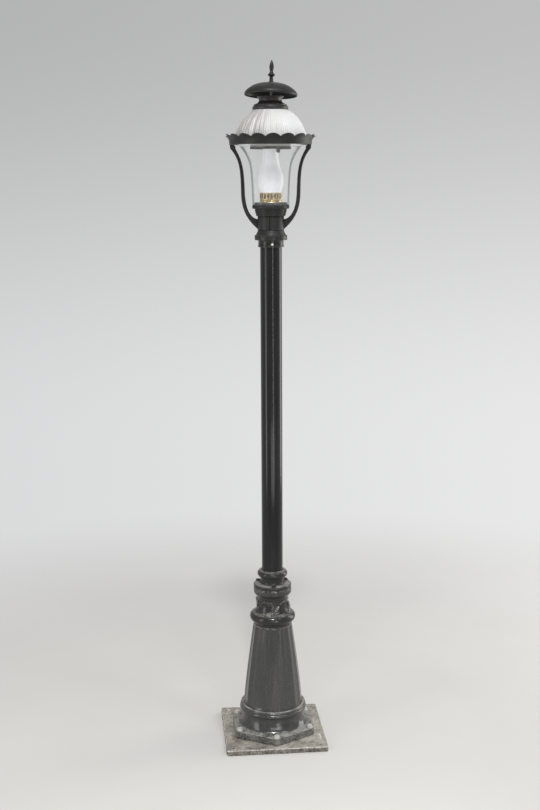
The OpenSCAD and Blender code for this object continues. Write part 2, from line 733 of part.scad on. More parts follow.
neck_profile = concat([[neck_flange_r, 0], [neck_flange_r, 9.5], [neck_flange_r - 4.8, 12.5]],
    curve([neck_flange_r - 4.8, 16], [neck_waist_r + 6, 20], [neck_waist_r - 2, neck_h - 20],
        [neck_waist_r + 1, neck_h - 9.5]),
    [[neck_waist_r + 7.7, neck_h]]);

module neck() color([0.16, 0.14, 0.14]) {
    lantern() difference() {
        union() {
            turned(neck_z, wall(neck_profile, neck_wall));
            translate([0, 0, neck_z + neck_h - 18]) intersection() {
                translate([-neck_waist_r, -7, 0]) cube([2 * neck_waist_r, 14, 5]);
                cylinder(h = 5, r = neck_waist_r - neck_wall + 1);
            }
            neck_boss(neck_h - 20, neck_h - 8, 12);
        }
        neck_boss(0, neck_h + 10, rod_r + slip);
    }
}

// A cylinder on the leaning rod's line, between two heights above the neck's foot.
module neck_boss(z0, z1, radius) {
    translate([0, 0, bar_top]) rotate([-hat_lean_back, hat_lean_right, 0])
        rod(z0 + neck_z - bar_top, z1 + neck_z - bar_top, radius);
}

module spreader_bar() color([0.5, 0.5, 0.5]) lantern() difference() {
    intersection() {
        translate([-bar_half, -10, bar_top - bar_t]) cube([2 * bar_half, 20, bar_t]);
        rod(bar_top - bar_t, bar_top, bar_half, 96);
    }
    rod(bar_top - bar_t - 1, bar_top + 1, rod_r + 1);
}

boss_top = neck_z - bar_top + neck_h - 8;
finial_seat = hat_top;

module tie_rod() color([0.45, 0.45, 0.45]) leaning() rod(-14, finial_seat + 20, rod_r);

module rod_nut(z) {
    difference() {
        hex(z, z + 6, 2 * rod_r);
        rod(z - 1, z + 7, rod_r + thread_gap);
    }
}

module rod_nuts() color([0.45, 0.45, 0.45]) leaning() {
    rod_nut(-bar_t - 7);
    rod_nut(boss_top);
    rod_nut(hat_top - hat_t - 7.5);
}

hat_outer = concat([[hat_r - 1.2, 0], [hat_r, 3.5]],
    curve([hat_r, 5], [hat_r - 1, 14], [0.86 * hat_r, 0.5 * hat_h], [0.76 * hat_r, 0.65 * hat_h], 6),
    curve([0.70 * hat_r, 0.73 * hat_h], [0.6 * hat_r, 0.86 * hat_h], [0.4 * hat_r, 0.97 * hat_h],
        [0.2 * hat_r, 0.99 * hat_h], 6));
hat_inner = [for (p = hat_outer) [p[0] - hat_t * (p[0] > 0.3 * hat_r ? 0.9 : 0), p[1] - hat_t * p[1] / hat_h]];

module hat() color([0.11, 0.11, 0.11]) leaning() difference() {
    turned(hat_base, concat(hat_outer, [[9, hat_h], [0, hat_h], [0, hat_h - hat_t], [9, hat_h - hat_t]],
        back(hat_inner)));
    rod(hat_base, hat_top + 1, rod_r + slip);
}

finial_profile = concat([[0, 0], [9, 0], [9, 2.5], [6.6, 6], [6.1, 0.24 * finial_h], [7, 0.28 * finial_h],
    [knop_r - 0.6, 0.31 * finial_h], [knop_r, 0.35 * finial_h], [knop_r - 0.8, 0.395 * finial_h],
    [7.4, 0.43 * finial_h], [5.4, 0.49 * finial_h], [6.1, 0.56 * finial_h]],
    curve([7, 0.60 * finial_h], [9.2, 0.70 * finial_h], [7, 0.86 * finial_h], [1.4, 0.975 * finial_h], 6),
    [[0.6, finial_h], [0, finial_h]]);

module finial() color([0.10, 0.10, 0.10]) leaning() difference() {
    turned(finial_seat, finial_profile);
    rod(finial_seat - 1, finial_seat + 20.5, rod_r + thread_gap);
}

base_plate();
crating_studs();
stud_nuts();
foot_casting();
foot_bolts();
pedestal();
pedestal_bolts();
capital();
capital_bolts();
post_collar();
collar_bolts();
post_shaft();
terminal_bracket();
terminal_block();
riser_lead();
post_fitter();
set_screws();
yoke_left();
yoke_right();
yoke_screws();
globe_seat();
lamp_stem();
stem_nut();
globe_gasket();
globe();
burner_deck();
gallery();
chimney();
lamp_holder();
bulb_cap();
bulb();
crown();
hinge_pin();
latch_screw();
dome();
dome_clips();
reflector();
reflector_screws();
vent_collar();
collar_clip();
neck_gasket();
neck();
spreader_bar();
tie_rod();
rod_nuts();
hat();
finial();
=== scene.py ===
"""Visible pieces and finishes of a cast-iron street lamp post with a globe lantern.

Every length in the classes is in millimetres and every mesh is made in metres,
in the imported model's own frame: Z up, the origin under the middle of the plate.
"""

import json
import logging
import math
from collections.abc import Callable, Iterable, Sequence
from dataclasses import dataclass, field
from enum import Enum

import bmesh
import bpy
from mathutils import Matrix, Vector, noise
from mathutils.geometry import tessellate_polygon


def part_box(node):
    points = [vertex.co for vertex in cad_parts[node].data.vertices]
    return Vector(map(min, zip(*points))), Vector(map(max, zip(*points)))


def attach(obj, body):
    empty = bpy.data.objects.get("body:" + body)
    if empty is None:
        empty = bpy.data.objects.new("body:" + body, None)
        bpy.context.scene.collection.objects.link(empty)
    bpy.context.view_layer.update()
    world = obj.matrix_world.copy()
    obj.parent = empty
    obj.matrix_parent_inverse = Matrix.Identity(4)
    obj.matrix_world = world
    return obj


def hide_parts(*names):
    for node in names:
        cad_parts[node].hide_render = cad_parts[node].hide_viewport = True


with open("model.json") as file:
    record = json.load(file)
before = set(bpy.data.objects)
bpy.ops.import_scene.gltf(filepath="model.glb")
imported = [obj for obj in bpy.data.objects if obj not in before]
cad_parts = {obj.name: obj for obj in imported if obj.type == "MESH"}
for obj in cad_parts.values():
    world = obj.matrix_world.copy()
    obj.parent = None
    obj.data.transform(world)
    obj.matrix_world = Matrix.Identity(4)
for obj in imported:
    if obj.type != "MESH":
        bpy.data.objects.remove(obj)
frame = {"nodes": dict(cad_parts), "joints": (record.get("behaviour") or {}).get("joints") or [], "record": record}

log = logging.getLogger("lamp_post")

MM = 0.001
FULL_TURN = 2 * math.pi
SLIP = 0.3  # clearance in millimetres between the lantern's mating castings
Profile = list[tuple[float, float]]
Colour = tuple[float, float, float]


class Body(Enum):
    """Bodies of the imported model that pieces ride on."""

    POST = "post"
    TOP = "lantern_top"
    LATCH = "latch_screw"


class Slot(Enum):
    """The record's material slots."""

    PLATE = "plate_steel"
    FOOT = "foot_iron"
    CAST = "cast_black"
    POST = "post_black"
    NECK = "neck_black"
    DULL_BOLT = "dull_bolt"
    DUSTY_BOLT = "dusty_bolt"
    BRIGHT_SCREW = "bright_screw"
    INNER_STEEL = "inner_steel"
    CLEAR_GLASS = "clear_glass"
    FROSTED_GLASS = "frosted_glass"
    DOME_GLASS = "dome_glass"
    BULB_GLASS = "bulb_glass"
    GALLERY_BRASS = "gallery_brass"
    STEM_BRASS = "stem_brass"
    ENAMEL = "reflector_enamel"
    VENT = "vent_dark"
    DECK = "deck_dark"
    RUBBER = "gasket_rubber"
    CERAMIC = "holder_ceramic"
    PLASTIC = "block_plastic"
    SHEATH = "lead_sheath"


# ---------------------------------------------------------------- node graphs


class Signal:
    """A number that flows through a node tree. Arithmetic on it adds Math nodes."""

    def __init__(self, graph: "Graph", socket: bpy.types.NodeSocket) -> None:
        """Wraps one output socket of a graph."""
        self.graph = graph
        self.socket = socket

    def _math(self, operation: str, *values: "Signal | float") -> "Signal":
        """Adds a Math node on the values, in their order."""
        return self.graph.number("ShaderNodeMath", {"operation": operation}, dict(enumerate(values)))

    def __add__(self, other: "Signal | float") -> "Signal":
        """self + other"""
        return self._math("ADD", self, other)

    __radd__ = __add__

    def __sub__(self, other: "Signal | float") -> "Signal":
        """self - other"""
        return self._math("SUBTRACT", self, other)

    def __rsub__(self, other: float) -> "Signal":
        """other - self"""
        return self._math("SUBTRACT", other, self)

    def __mul__(self, other: "Signal | float") -> "Signal":
        """self * other"""
        return self._math("MULTIPLY", self, other)

    __rmul__ = __mul__

    def __truediv__(self, other: "Signal | float") -> "Signal":
        """self / other"""
        return self._math("DIVIDE", self, other)

    def __rtruediv__(self, other: float) -> "Signal":
        """other / self"""
        return self._math("DIVIDE", other, self)

    def __pow__(self, power: "Signal | float") -> "Signal":
        """self ** power"""
        return self._math("POWER", self, power)

    def least(self, other: "Signal | float") -> "Signal":
        """The smaller of the two."""
        return self._math("MINIMUM", self, other)

    def most(self, other: "Signal | float") -> "Signal":
        """The larger of the two."""
        return self._math("MAXIMUM", self, other)

    def sine(self) -> "Signal":
        """Sine of the signal, in radians."""
        return self._math("SINE", self)

    def cosine(self) -> "Signal":
        """Cosine of the signal, in radians."""
        return self._math("COSINE", self)

    def angle_to(self, across: "Signal") -> "Signal":
        """Angle of the point whose Y is the signal and whose X is across."""
        return self._math("ARCTAN2", self, across)

    def edge(self, low: float, high: float) -> "Signal":
        """A soft step from 0 at low to 1 at high.

        Args:
            low: The value that gives 0.
            high: The value that gives 1.

        Returns:
            The stepped signal.
        """
        return self.graph.number(
            "ShaderNodeMapRange", {"interpolation_type": "SMOOTHSTEP"}, {0: self, 1: low, 2: high}
        )


class Graph:
    """A node tree that is being built."""

    def __init__(self, tree: bpy.types.NodeTree) -> None:
        """Takes the tree that the nodes go into."""
        self.tree = tree

    def add(self, kind: str, settings: dict | None = None,
            sockets: dict | None = None) -> bpy.types.Node:
        """Adds any node.

        Args:
            kind: The node's type.
            settings: Properties that are set first.
            sockets: A value, a socket or a Signal for each input, by name or number.

        Returns:
            The new node.
        """
        node = self.tree.nodes.new(kind)
        for key, value in (settings or {}).items():
            setattr(node, key, value)
        for key, value in (sockets or {}).items():
            target = node.inputs[key]
            if isinstance(value, Signal):
                self.tree.links.new(value.socket, target)
            elif isinstance(value, bpy.types.NodeSocket):
                self.tree.links.new(value, target)
            else:
                target.default_value = value
        return node

    def number(self, kind: str, settings: dict, sockets: dict, output: str | int = 0) -> Signal:
        """Adds a node and wraps one of its outputs."""
        return Signal(self, self.add(kind, settings, sockets).outputs[output])


class Recipe(Graph):
    """A material that is being mixed."""

    def __init__(self, name: str) -> None:
        """Starts a material with a Principled shader.

        Args:
            name: The material's name.
        """
        self.material = bpy.data.materials.new(name)
        self.material.use_nodes = True
        super().__init__(self.material.node_tree)
        self.tree.nodes.clear()
        self.shader = self.add("ShaderNodeBsdfPrincipled")
        self.add("ShaderNodeOutputMaterial", None, {"Surface": self.shader.outputs[0]})
        self.coordinates = self.add("ShaderNodeTexCoord")

    def place(self, stretch: tuple[float, float, float] = (1.0, 1.0, 1.0)) -> bpy.types.NodeSocket:
        """Object coordinates, in metres, drawn out by stretch."""
        if stretch == (1.0, 1.0, 1.0):
            return self.coordinates.outputs["Object"]
        return self.add(
            "ShaderNodeMapping", {"vector_type": "POINT"},
            {"Vector": self.coordinates.outputs["Object"], "Scale": stretch},
        ).outputs[0]

    def axis(self, name: str) -> Signal:
        """One of the Object coordinates: X, Y or Z."""
        return self.number("ShaderNodeSeparateXYZ", {}, {0: self.coordinates.outputs["Object"]}, name)

    def upward(self) -> Signal:
        """How far the surface looks up, from -1 to 1."""
        return self.number("ShaderNodeSeparateXYZ", {}, {0: self.coordinates.outputs["Normal"]}, "Z")

    def mottle(self, scale: float, detail: float = 4.0, roughness: float = 0.55,
               stretch: tuple[float, float, float] = (1.0, 1.0, 1.0), twist: float = 0.0) -> Signal:
        """Noise over the surface.

        Args:
            scale: Lumps in a metre.
            detail: Octaves.
            roughness: Strength of the finer octaves.
            stretch: Factors on the coordinates; a small one draws the lumps out.
            twist: Distortion.

        Returns:
            A signal near 0.5 that goes from 0 to 1.
        """
        return self.number(
            "ShaderNodeTexNoise", {},
            {"Vector": self.place(stretch), "Scale": scale, "Detail": detail, "Roughness": roughness,
             "Distortion": twist},
        )

    def cells(self, scale: float, randomness: float = 1.0) -> Signal:
        """Distance to the nearest of many scattered points."""
        return self.number(
            "ShaderNodeTexVoronoi", {}, {"Vector": self.place(), "Scale": scale,
                                         "Randomness": randomness},
            "Distance",
        )

    def blend(self, share: Signal | float, first: Colour | bpy.types.NodeSocket,
              second: Colour | bpy.types.NodeSocket) -> bpy.types.NodeSocket:
        """Blends two colours.

        Args:
            share: 0 gives the first colour and 1 the second.
            first: A colour or a colour socket.
            second: A colour or a colour socket.

        Returns:
            The blended colour's socket.
        """
        first, second = ((*c, 1.0) if isinstance(c, tuple) else c for c in (first, second))
        return self.add(
            "ShaderNodeMix", {"data_type": "RGBA", "blend_type": "MIX", "clamp_factor": True},
            {0: share, 6: first, 7: second},
        ).outputs[2]

    def relief(self, *layers: tuple[Signal, float]) -> None:
        """Bumps the surface.

        Args:
            layers: Signals with the depth in millimetres that each makes.
        """
        normal = None
        for signal, depth in layers:
            sockets = {"Height": signal, "Distance": depth * MM, "Strength": 1.0}
            if normal is not None:
                sockets["Normal"] = normal
            normal = self.add("ShaderNodeBump", None, sockets).outputs[0]
        if normal is not None:
            self.tree.links.new(normal, self.shader.inputs["Normal"])

    def coat(self, **values: object) -> bpy.types.Material:
        """Sets the shader's sockets, whose names are given with _ for a space.

        Returns:
            The finished material.
        """
        for key, value in values.items():
            target = self.shader.inputs[key.replace("_", " ")]
            if isinstance(value, Signal):
                self.tree.links.new(value.socket, target)
            elif isinstance(value, bpy.types.NodeSocket):
                self.tree.links.new(value, target)
            elif isinstance(value, tuple) and target.type == "RGBA":
                target.default_value = (*value, 1.0)
            else:
                target.default_value = value
        return self.material


# ------------------------------------------------------------------- finishes


@dataclass(frozen=True)
class BlackPaint:
    """Old gloss black paint on iron, with dust, rust stains, specks and worn edges. The worn edges are lightened
    also as a painted highlight, and above a set height the paint is chalky and painted darker as painted shade.
    """

    shade: Colour = (0.0105, 0.0105, 0.011)
    dust: Colour = (0.29, 0.275, 0.25)
    dust_on_top: float = 0.5
    dust_film: float = 0.02
    dust_near_ground: float = 0.0
    rust: Colour = (0.075, 0.035, 0.018)
    rust_share: float = 0.12
    specks: float = 0.5
    edge_wear_and_glint: float = 0.4
    gloss: float = 0.26
    casting: float = 0.25
    # height in metres above which the paint is chalky and also painted darker, as painted shade
    chalky_and_shaded_above: float = 9.0
    mirror: float = 0.5
    ledge: float = 0.78

    def dress(self, name: str) -> bpy.types.Material:
        """Mixes the paint.

        Args:
            name: The material's name.

        Returns:
            The material.
        """
        mix = Recipe(name)
        cloud = mix.mottle(14, 5, 0.6)
        streak = mix.mottle(34, 5, 0.6, (1.0, 1.0, 0.09))
        fine = mix.mottle(230, 4, 0.6)
        grit = mix.mottle(900, 2, 0.5)
        chalky_and_shaded = mix.axis("Z").edge(self.chalky_and_shaded_above, self.chalky_and_shaded_above + 0.06)
        patch = mix.mottle(42, 5, 0.6)
        top = mix.upward().edge(self.ledge, 0.99) * (patch * 0.6 + fine * 0.4).edge(0.34, 0.60) * self.dust_on_top
        top = top * (1 - chalky_and_shaded * 0.75)
        low = (1 - mix.axis("Z").edge(0.0, 0.62)) * (streak * 0.6 + fine * 0.4).edge(0.34, 0.66)
        film = streak.edge(0.42, 0.72) * self.dust_film
        dusty = (top + low * self.dust_near_ground + film).least(0.95)
        stain = (cloud * 0.45 + streak * 0.55).edge(0.545, 0.66) * self.rust_share
        point = mix.number("ShaderNodeNewGeometry", {}, {}, "Pointiness")
        # worn edges are lightened: real wear, and also a painted highlight of glints on ridges and beads
        worn = point.edge(0.515, 0.57) * (fine * 0.6 + cloud * 0.4).edge(0.44, 0.60) * self.edge_wear_and_glint
        speck = (1 - mix.cells(95).edge(0.045, 0.085)) * cloud.edge(0.50, 0.62) * self.specks
        colour = mix.blend(fine.edge(0.3, 0.7), self.shade, tuple(1.5 * c for c in self.shade))
        colour = mix.blend(stain, colour, self.rust)
        # painted shade: above the set height the colour is darkened, for the lantern that stands in shade
        colour = mix.blend(chalky_and_shaded * 0.6, colour, (0.007, 0.007, 0.007))
        colour = mix.blend(worn * (1 - chalky_and_shaded * 0.85), colour, (0.30, 0.29, 0.27))
        colour = mix.blend(dusty, colour, self.dust)
        colour = mix.blend(speck, colour, (0.42, 0.41, 0.39))
        rough = self.gloss + fine * 0.08 + streak.edge(0.45, 0.75) * 0.10 + stain * 0.8 + dusty * 0.60
        rough = rough + chalky_and_shaded * 0.36
        mix.relief((mix.mottle(55, 3), self.casting), (fine, 0.12 * self.casting + 0.02), (grit, 0.012))
        return mix.coat(Base_Color=colour, Roughness=rough.least(0.95), Specular_IOR_Level=self.mirror)


@dataclass(frozen=True)
class WeatheredSteel:
    """Thick plate, dusty and mottled, with scratches, dark stains and rust, and a lighter top arris that is partly
    wear and partly painted highlight.
    """

    def dress(self, name: str) -> bpy.types.Material:
        """Mixes the plate's finish under the given name."""
        mix = Recipe(name)
        cloud = mix.mottle(11, 6, 0.62)
        patch = mix.mottle(38, 6, 0.65)
        fine = mix.mottle(260, 5, 0.6)
        drag = mix.mottle(30, 4, 0.6, (1.0, 9.0, 1.0))
        cross = mix.mottle(26, 4, 0.6, (8.0, 1.0, 1.0), 0.4)
        top = mix.upward().edge(0.3, 0.8)
        colour = mix.blend((cloud * 0.5 + patch * 0.5).edge(0.38, 0.62), (0.120, 0.105, 0.086),
                           (0.40, 0.37, 0.315))
        colour = mix.blend(drag.edge(0.60, 0.68) * 0.55, colour, (0.42, 0.40, 0.36))
        colour = mix.blend(cross.edge(0.62, 0.68) * 0.5, colour, (0.10, 0.09, 0.08))
        colour = mix.blend(patch.edge(0.57, 0.68) * 0.60, colour, (0.060, 0.048, 0.038))
        colour = mix.blend(cloud.edge(0.60, 0.70) * 0.30, colour, (0.16, 0.085, 0.045))
        colour = mix.blend(fine.edge(0.54, 0.66) * 0.30, colour, (0.60, 0.58, 0.54))
        side = mix.blend((patch * 0.4 + cross * 0.2 + fine * 0.4).edge(0.42, 0.58),
                         (0.060, 0.048, 0.038),
                         (0.270, 0.252, 0.222))
        colour = mix.blend(1 - top, colour, side)
        # lighter line along the top arris: worn metal and also a painted highlight
        worn_arris_and_highlight = mix.upward().edge(0.12, 0.35) * (1 - mix.upward().edge(0.80, 0.97))
        colour = mix.blend(worn_arris_and_highlight * (cross * 0.5 + fine * 0.5).edge(0.36, 0.56) * 0.85, colour,
                           (0.62, 0.60, 0.56))
        point = mix.number("ShaderNodeNewGeometry", {}, {}, "Pointiness")
        colour = mix.blend(point.edge(0.53, 0.60) * patch.edge(0.40, 0.56) * 0.8, colour,
                           (0.66, 0.64, 0.60))
        rough = 0.52 + fine * 0.25 + patch.edge(0.4, 0.7) * 0.15
        mix.relief((patch, 0.8), (drag, 0.25), (fine, 0.18))
        return mix.coat(Base_Color=colour, Roughness=rough, Metallic=patch.edge(0.5, 0.75) * 0.3,
                        Specular_IOR_Level=0.4)


@dataclass(frozen=True)
class Steel:
    """Bolts, nuts, screws and brackets."""

    shade: Colour
    stain: Colour
    stain_share: float
    metallic: float
    gloss: float

    def dress(self, name: str) -> bpy.types.Material:
        """Mixes the metal under the given name."""
        mix = Recipe(name)
        patch = mix.mottle(90, 5, 0.6)
        fine = mix.mottle(700, 3, 0.6)
        stain = (patch * 0.6 + fine * 0.4).edge(0.42, 0.62) * self.stain_share
        colour = mix.blend(stain, self.shade, self.stain)
        colour = mix.blend(fine.edge(0.55, 0.75) * 0.25, colour,
                           tuple(min(1.0, 1.6 * c) for c in self.shade))
        mix.relief((patch, 0.15), (fine, 0.04))
        return mix.coat(Base_Color=colour,
                        Roughness=(self.gloss + fine * 0.15 + stain * 0.45).least(0.95),
                        Metallic=(1 - stain) * self.metallic)


@dataclass(frozen=True)
class ClearGlass:
    """Thin clear blown glass with a little dust and faint waviness. Where it is seen edge-on it is painted dark
    and less clear, as painted reflection.
    """

    shade: Colour = (0.80, 0.83, 0.84)
    veil: float = 0.03

    def dress(self, name: str) -> bpy.types.Material:
        """Mixes the glass under the given name."""
        mix = Recipe(name)
        cloud = mix.mottle(16, 4, 0.6)
        fine = mix.mottle(320, 4, 0.6)
        drip = mix.mottle(40, 4, 0.6, (1.0, 1.0, 0.12))
        rim = mix.number("ShaderNodeLayerWeight", {}, {"Blend": 0.5}, "Facing")
        film = (cloud * 0.4 + drip * 0.6).edge(0.42, 0.66)
        spot = fine.edge(0.62, 0.72)
        # painted reflection: the glass is darkened and made less clear where it is seen edge-on
        colour = mix.blend(rim.edge(0.50, 0.80), self.shade, (0.10, 0.105, 0.11))
        alpha = self.veil + film * 0.045 + spot * film * 0.10 + rim.edge(0.55, 0.90) * 0.66
        mix.relief((mix.mottle(22, 2), 0.30),)
        return mix.coat(Base_Color=colour, Roughness=0.05 + film * 0.12, Alpha=alpha.least(0.95),
                        IOR=1.45,
                        Specular_IOR_Level=0.5)


@dataclass(frozen=True)
class MilkGlass:
    """White frosted glass, for the chimney and the bulb. It glows a little as painted light, and below a set
    height it is painted dark as painted shade.
    """

    shade: Colour
    painted_glow: float
    gloss: float
    shaded_below: float = 0.0

    def dress(self, name: str) -> bpy.types.Material:
        """Mixes the glass under the given name."""
        mix = Recipe(name)
        cloud = mix.mottle(22, 4, 0.5)
        fine = mix.mottle(500, 3, 0.6)
        soil = cloud.edge(0.52, 0.74) * 0.16 + fine.edge(0.60, 0.72) * 0.08
        colour = mix.blend(soil, self.shade, (0.50, 0.47, 0.42))
        # painted shade: below the set height, inside the gallery, the glass is painted dark brown and its glow is
        # cut
        foot = 1 - (mix.axis("Z") + fine * 0.004).edge(self.shaded_below - 0.004,
                                                       self.shaded_below + 0.004)
        colour = mix.blend(foot * 0.93, colour, (0.085, 0.055, 0.03))
        # painted light: the unlit glass glows in its own colour, except where it is painted dark below
        painted_glow = mix.blend(foot, self.shade, (0.0, 0.0, 0.0))
        mix.relief((fine, 0.02), (cloud, 0.05))
        return mix.coat(Base_Color=colour, Roughness=self.gloss + cloud * 0.12, Subsurface_Weight=0.25,
                        Subsurface_Radius=(0.02, 0.02, 0.02), Coat_Weight=0.15, Coat_Roughness=0.2,
                        Emission_Color=painted_glow, Emission_Strength=self.painted_glow)


@dataclass(frozen=True)
class PrismGlass:
    """Opal prismatic glass: white on its lit side; away from it, brown streaks and darker grooves that are partly
    grime and partly painted shade and dark reflections.
    """

    ribs: int
    lit_side: float

    def dress(self, name: str) -> bpy.types.Material:
        """Mixes the glass under the given name."""
        mix = Recipe(name)
        turn = mix.axis("Y").angle_to(mix.axis("X"))
        groove = 0.5 - (turn * self.ribs).cosine() * 0.5
        away = 0.5 - (turn - math.radians(self.lit_side)).cosine() * 0.5
        behind = mix.axis("X").angle_to(0 - mix.axis("Y"))
        sheet = mix.add("ShaderNodeCombineXYZ", None, {"X": behind * 15, "Y": mix.axis("Z") * 8})
        drip = mix.number("ShaderNodeTexNoise", {"noise_dimensions": "2D"},
                          {"Vector": sheet.outputs[0], "Scale": 1.0, "Detail": 4.0}, "Fac")
        cloud = mix.mottle(12, 4, 0.6)
        fine = mix.mottle(420, 4, 0.6)
        # away from the lit side the glass gets brown streaks and darker grooves: partly grime, partly painted
        # shade and dark reflections
        far = away.edge(0.12, 0.72) * 0.85
        streaks_and_shade = (drip * 0.75 + cloud * 0.25 + far * 0.20 - 0.08).edge(0.46, 0.61) * (far * 0.95 + 0.05)
        deep = groove.edge(0.25, 0.9)
        colour = mix.blend(fine.edge(0.5, 0.8) * 0.2, (0.74, 0.735, 0.72), (0.66, 0.65, 0.62))
        colour = mix.blend(deep * (0.04 + far * 0.26), colour, (0.36, 0.33, 0.30))
        colour = mix.blend(streaks_and_shade * (0.42 + deep * 0.34), colour, (0.10, 0.058, 0.036))
        mix.relief((fine, 0.03),)
        return mix.coat(Base_Color=colour, Roughness=0.42 + streaks_and_shade * 0.4 + fine * 0.08,
                        Transmission_Weight=0.12,
                        IOR=1.45, Coat_Weight=0.05, Coat_Roughness=0.25)


@dataclass(frozen=True)
class Brass:
    """Old brass with a brown patina in its hollows."""

    shade: Colour = (0.56, 0.44, 0.20)
    patina: Colour = (0.13, 0.085, 0.035)
    patina_share: float = 0.7

    def dress(self, name: str) -> bpy.types.Material:
        """Mixes the brass under the given name."""
        mix = Recipe(name)
        patch = mix.mottle(120, 5, 0.6)
        fine = mix.mottle(900, 3, 0.6)
        point = mix.number("ShaderNodeNewGeometry", {}, {}, "Pointiness")
        dark = ((patch * 0.7 + fine * 0.3).edge(0.45,
                                                0.65) * self.patina_share + (1 - point.edge(0.44, 0.50)) * 0.4)
        colour = mix.blend(dark.least(1.0), self.shade, self.patina)
        colour = mix.blend(patch.edge(0.62, 0.72) * 0.4, colour, (0.62, 0.60, 0.50))
        mix.relief((patch, 0.06), (fine, 0.02))
        return mix.coat(Base_Color=colour, Roughness=0.26 + fine * 0.15 + dark.least(1.0) * 0.25,
                        Metallic=(1 - dark * 0.45).most(0.0))


@dataclass(frozen=True)
class Enamel:
    """A hard even coat: white enamel, glazed ceramic or moulded plastic."""

    shade: Colour
    soil: Colour
    soil_share: float
    gloss: float
    coat: float

    def dress(self, name: str) -> bpy.types.Material:
        """Mixes the coat under the given name."""
        mix = Recipe(name)
        cloud = mix.mottle(30, 5, 0.6)
        fine = mix.mottle(450, 4, 0.6)
        soil = (cloud * 0.6 + fine * 0.4).edge(0.46, 0.66) * self.soil_share
        chip = (1 - mix.cells(140).edge(0.03, 0.06)) * cloud.edge(0.56, 0.66) * 0.6
        colour = mix.blend(soil, self.shade, self.soil)
        colour = mix.blend(chip, colour, (0.12, 0.10, 0.09))
        mix.relief((mix.mottle(60, 2), 0.10), (fine, 0.015))
        return mix.coat(Base_Color=colour, Roughness=self.gloss + soil * 0.4, Coat_Weight=self.coat,
                        Coat_Roughness=0.12)


@dataclass(frozen=True)
class Rubber:
    """Dull aged rubber or cable sheath."""

    shade: Colour

    def dress(self, name: str) -> bpy.types.Material:
        """Mixes the rubber under the given name."""
        mix = Recipe(name)
        cloud = mix.mottle(60, 4, 0.6)
        fine = mix.mottle(800, 3, 0.6)
        colour = mix.blend(cloud.edge(0.45, 0.7) * 0.5, self.shade, (0.10, 0.095, 0.085))
        mix.relief((fine, 0.05),)
        return mix.coat(Base_Color=colour, Roughness=0.68 + fine * 0.2)


@dataclass(frozen=True)
class Ground:
    """Pale plain floor that fades into the sky away from the post."""

    shade: Colour
    near: float
    far: float

    def dress(self, name: str) -> bpy.types.Material:
        """Mixes the floor under the given name."""
        mix = Recipe(name)
        cloud = mix.mottle(1.6, 5, 0.55)
        fine = mix.mottle(60, 4, 0.6)
        colour = mix.blend(cloud.edge(0.3, 0.7) * 0.35, self.shade, tuple(0.90 * c for c in self.shade))
        x, y = mix.axis("X"), mix.axis("Y")
        away = (x * x + y * y) ** 0.5
        mix.relief((fine, 0.15),)
        return mix.coat(Base_Color=colour, Roughness=0.9, Specular_IOR_Level=0.2,
                        Alpha=1 - away.edge(self.near, self.far))


DOME_RIBS = 96

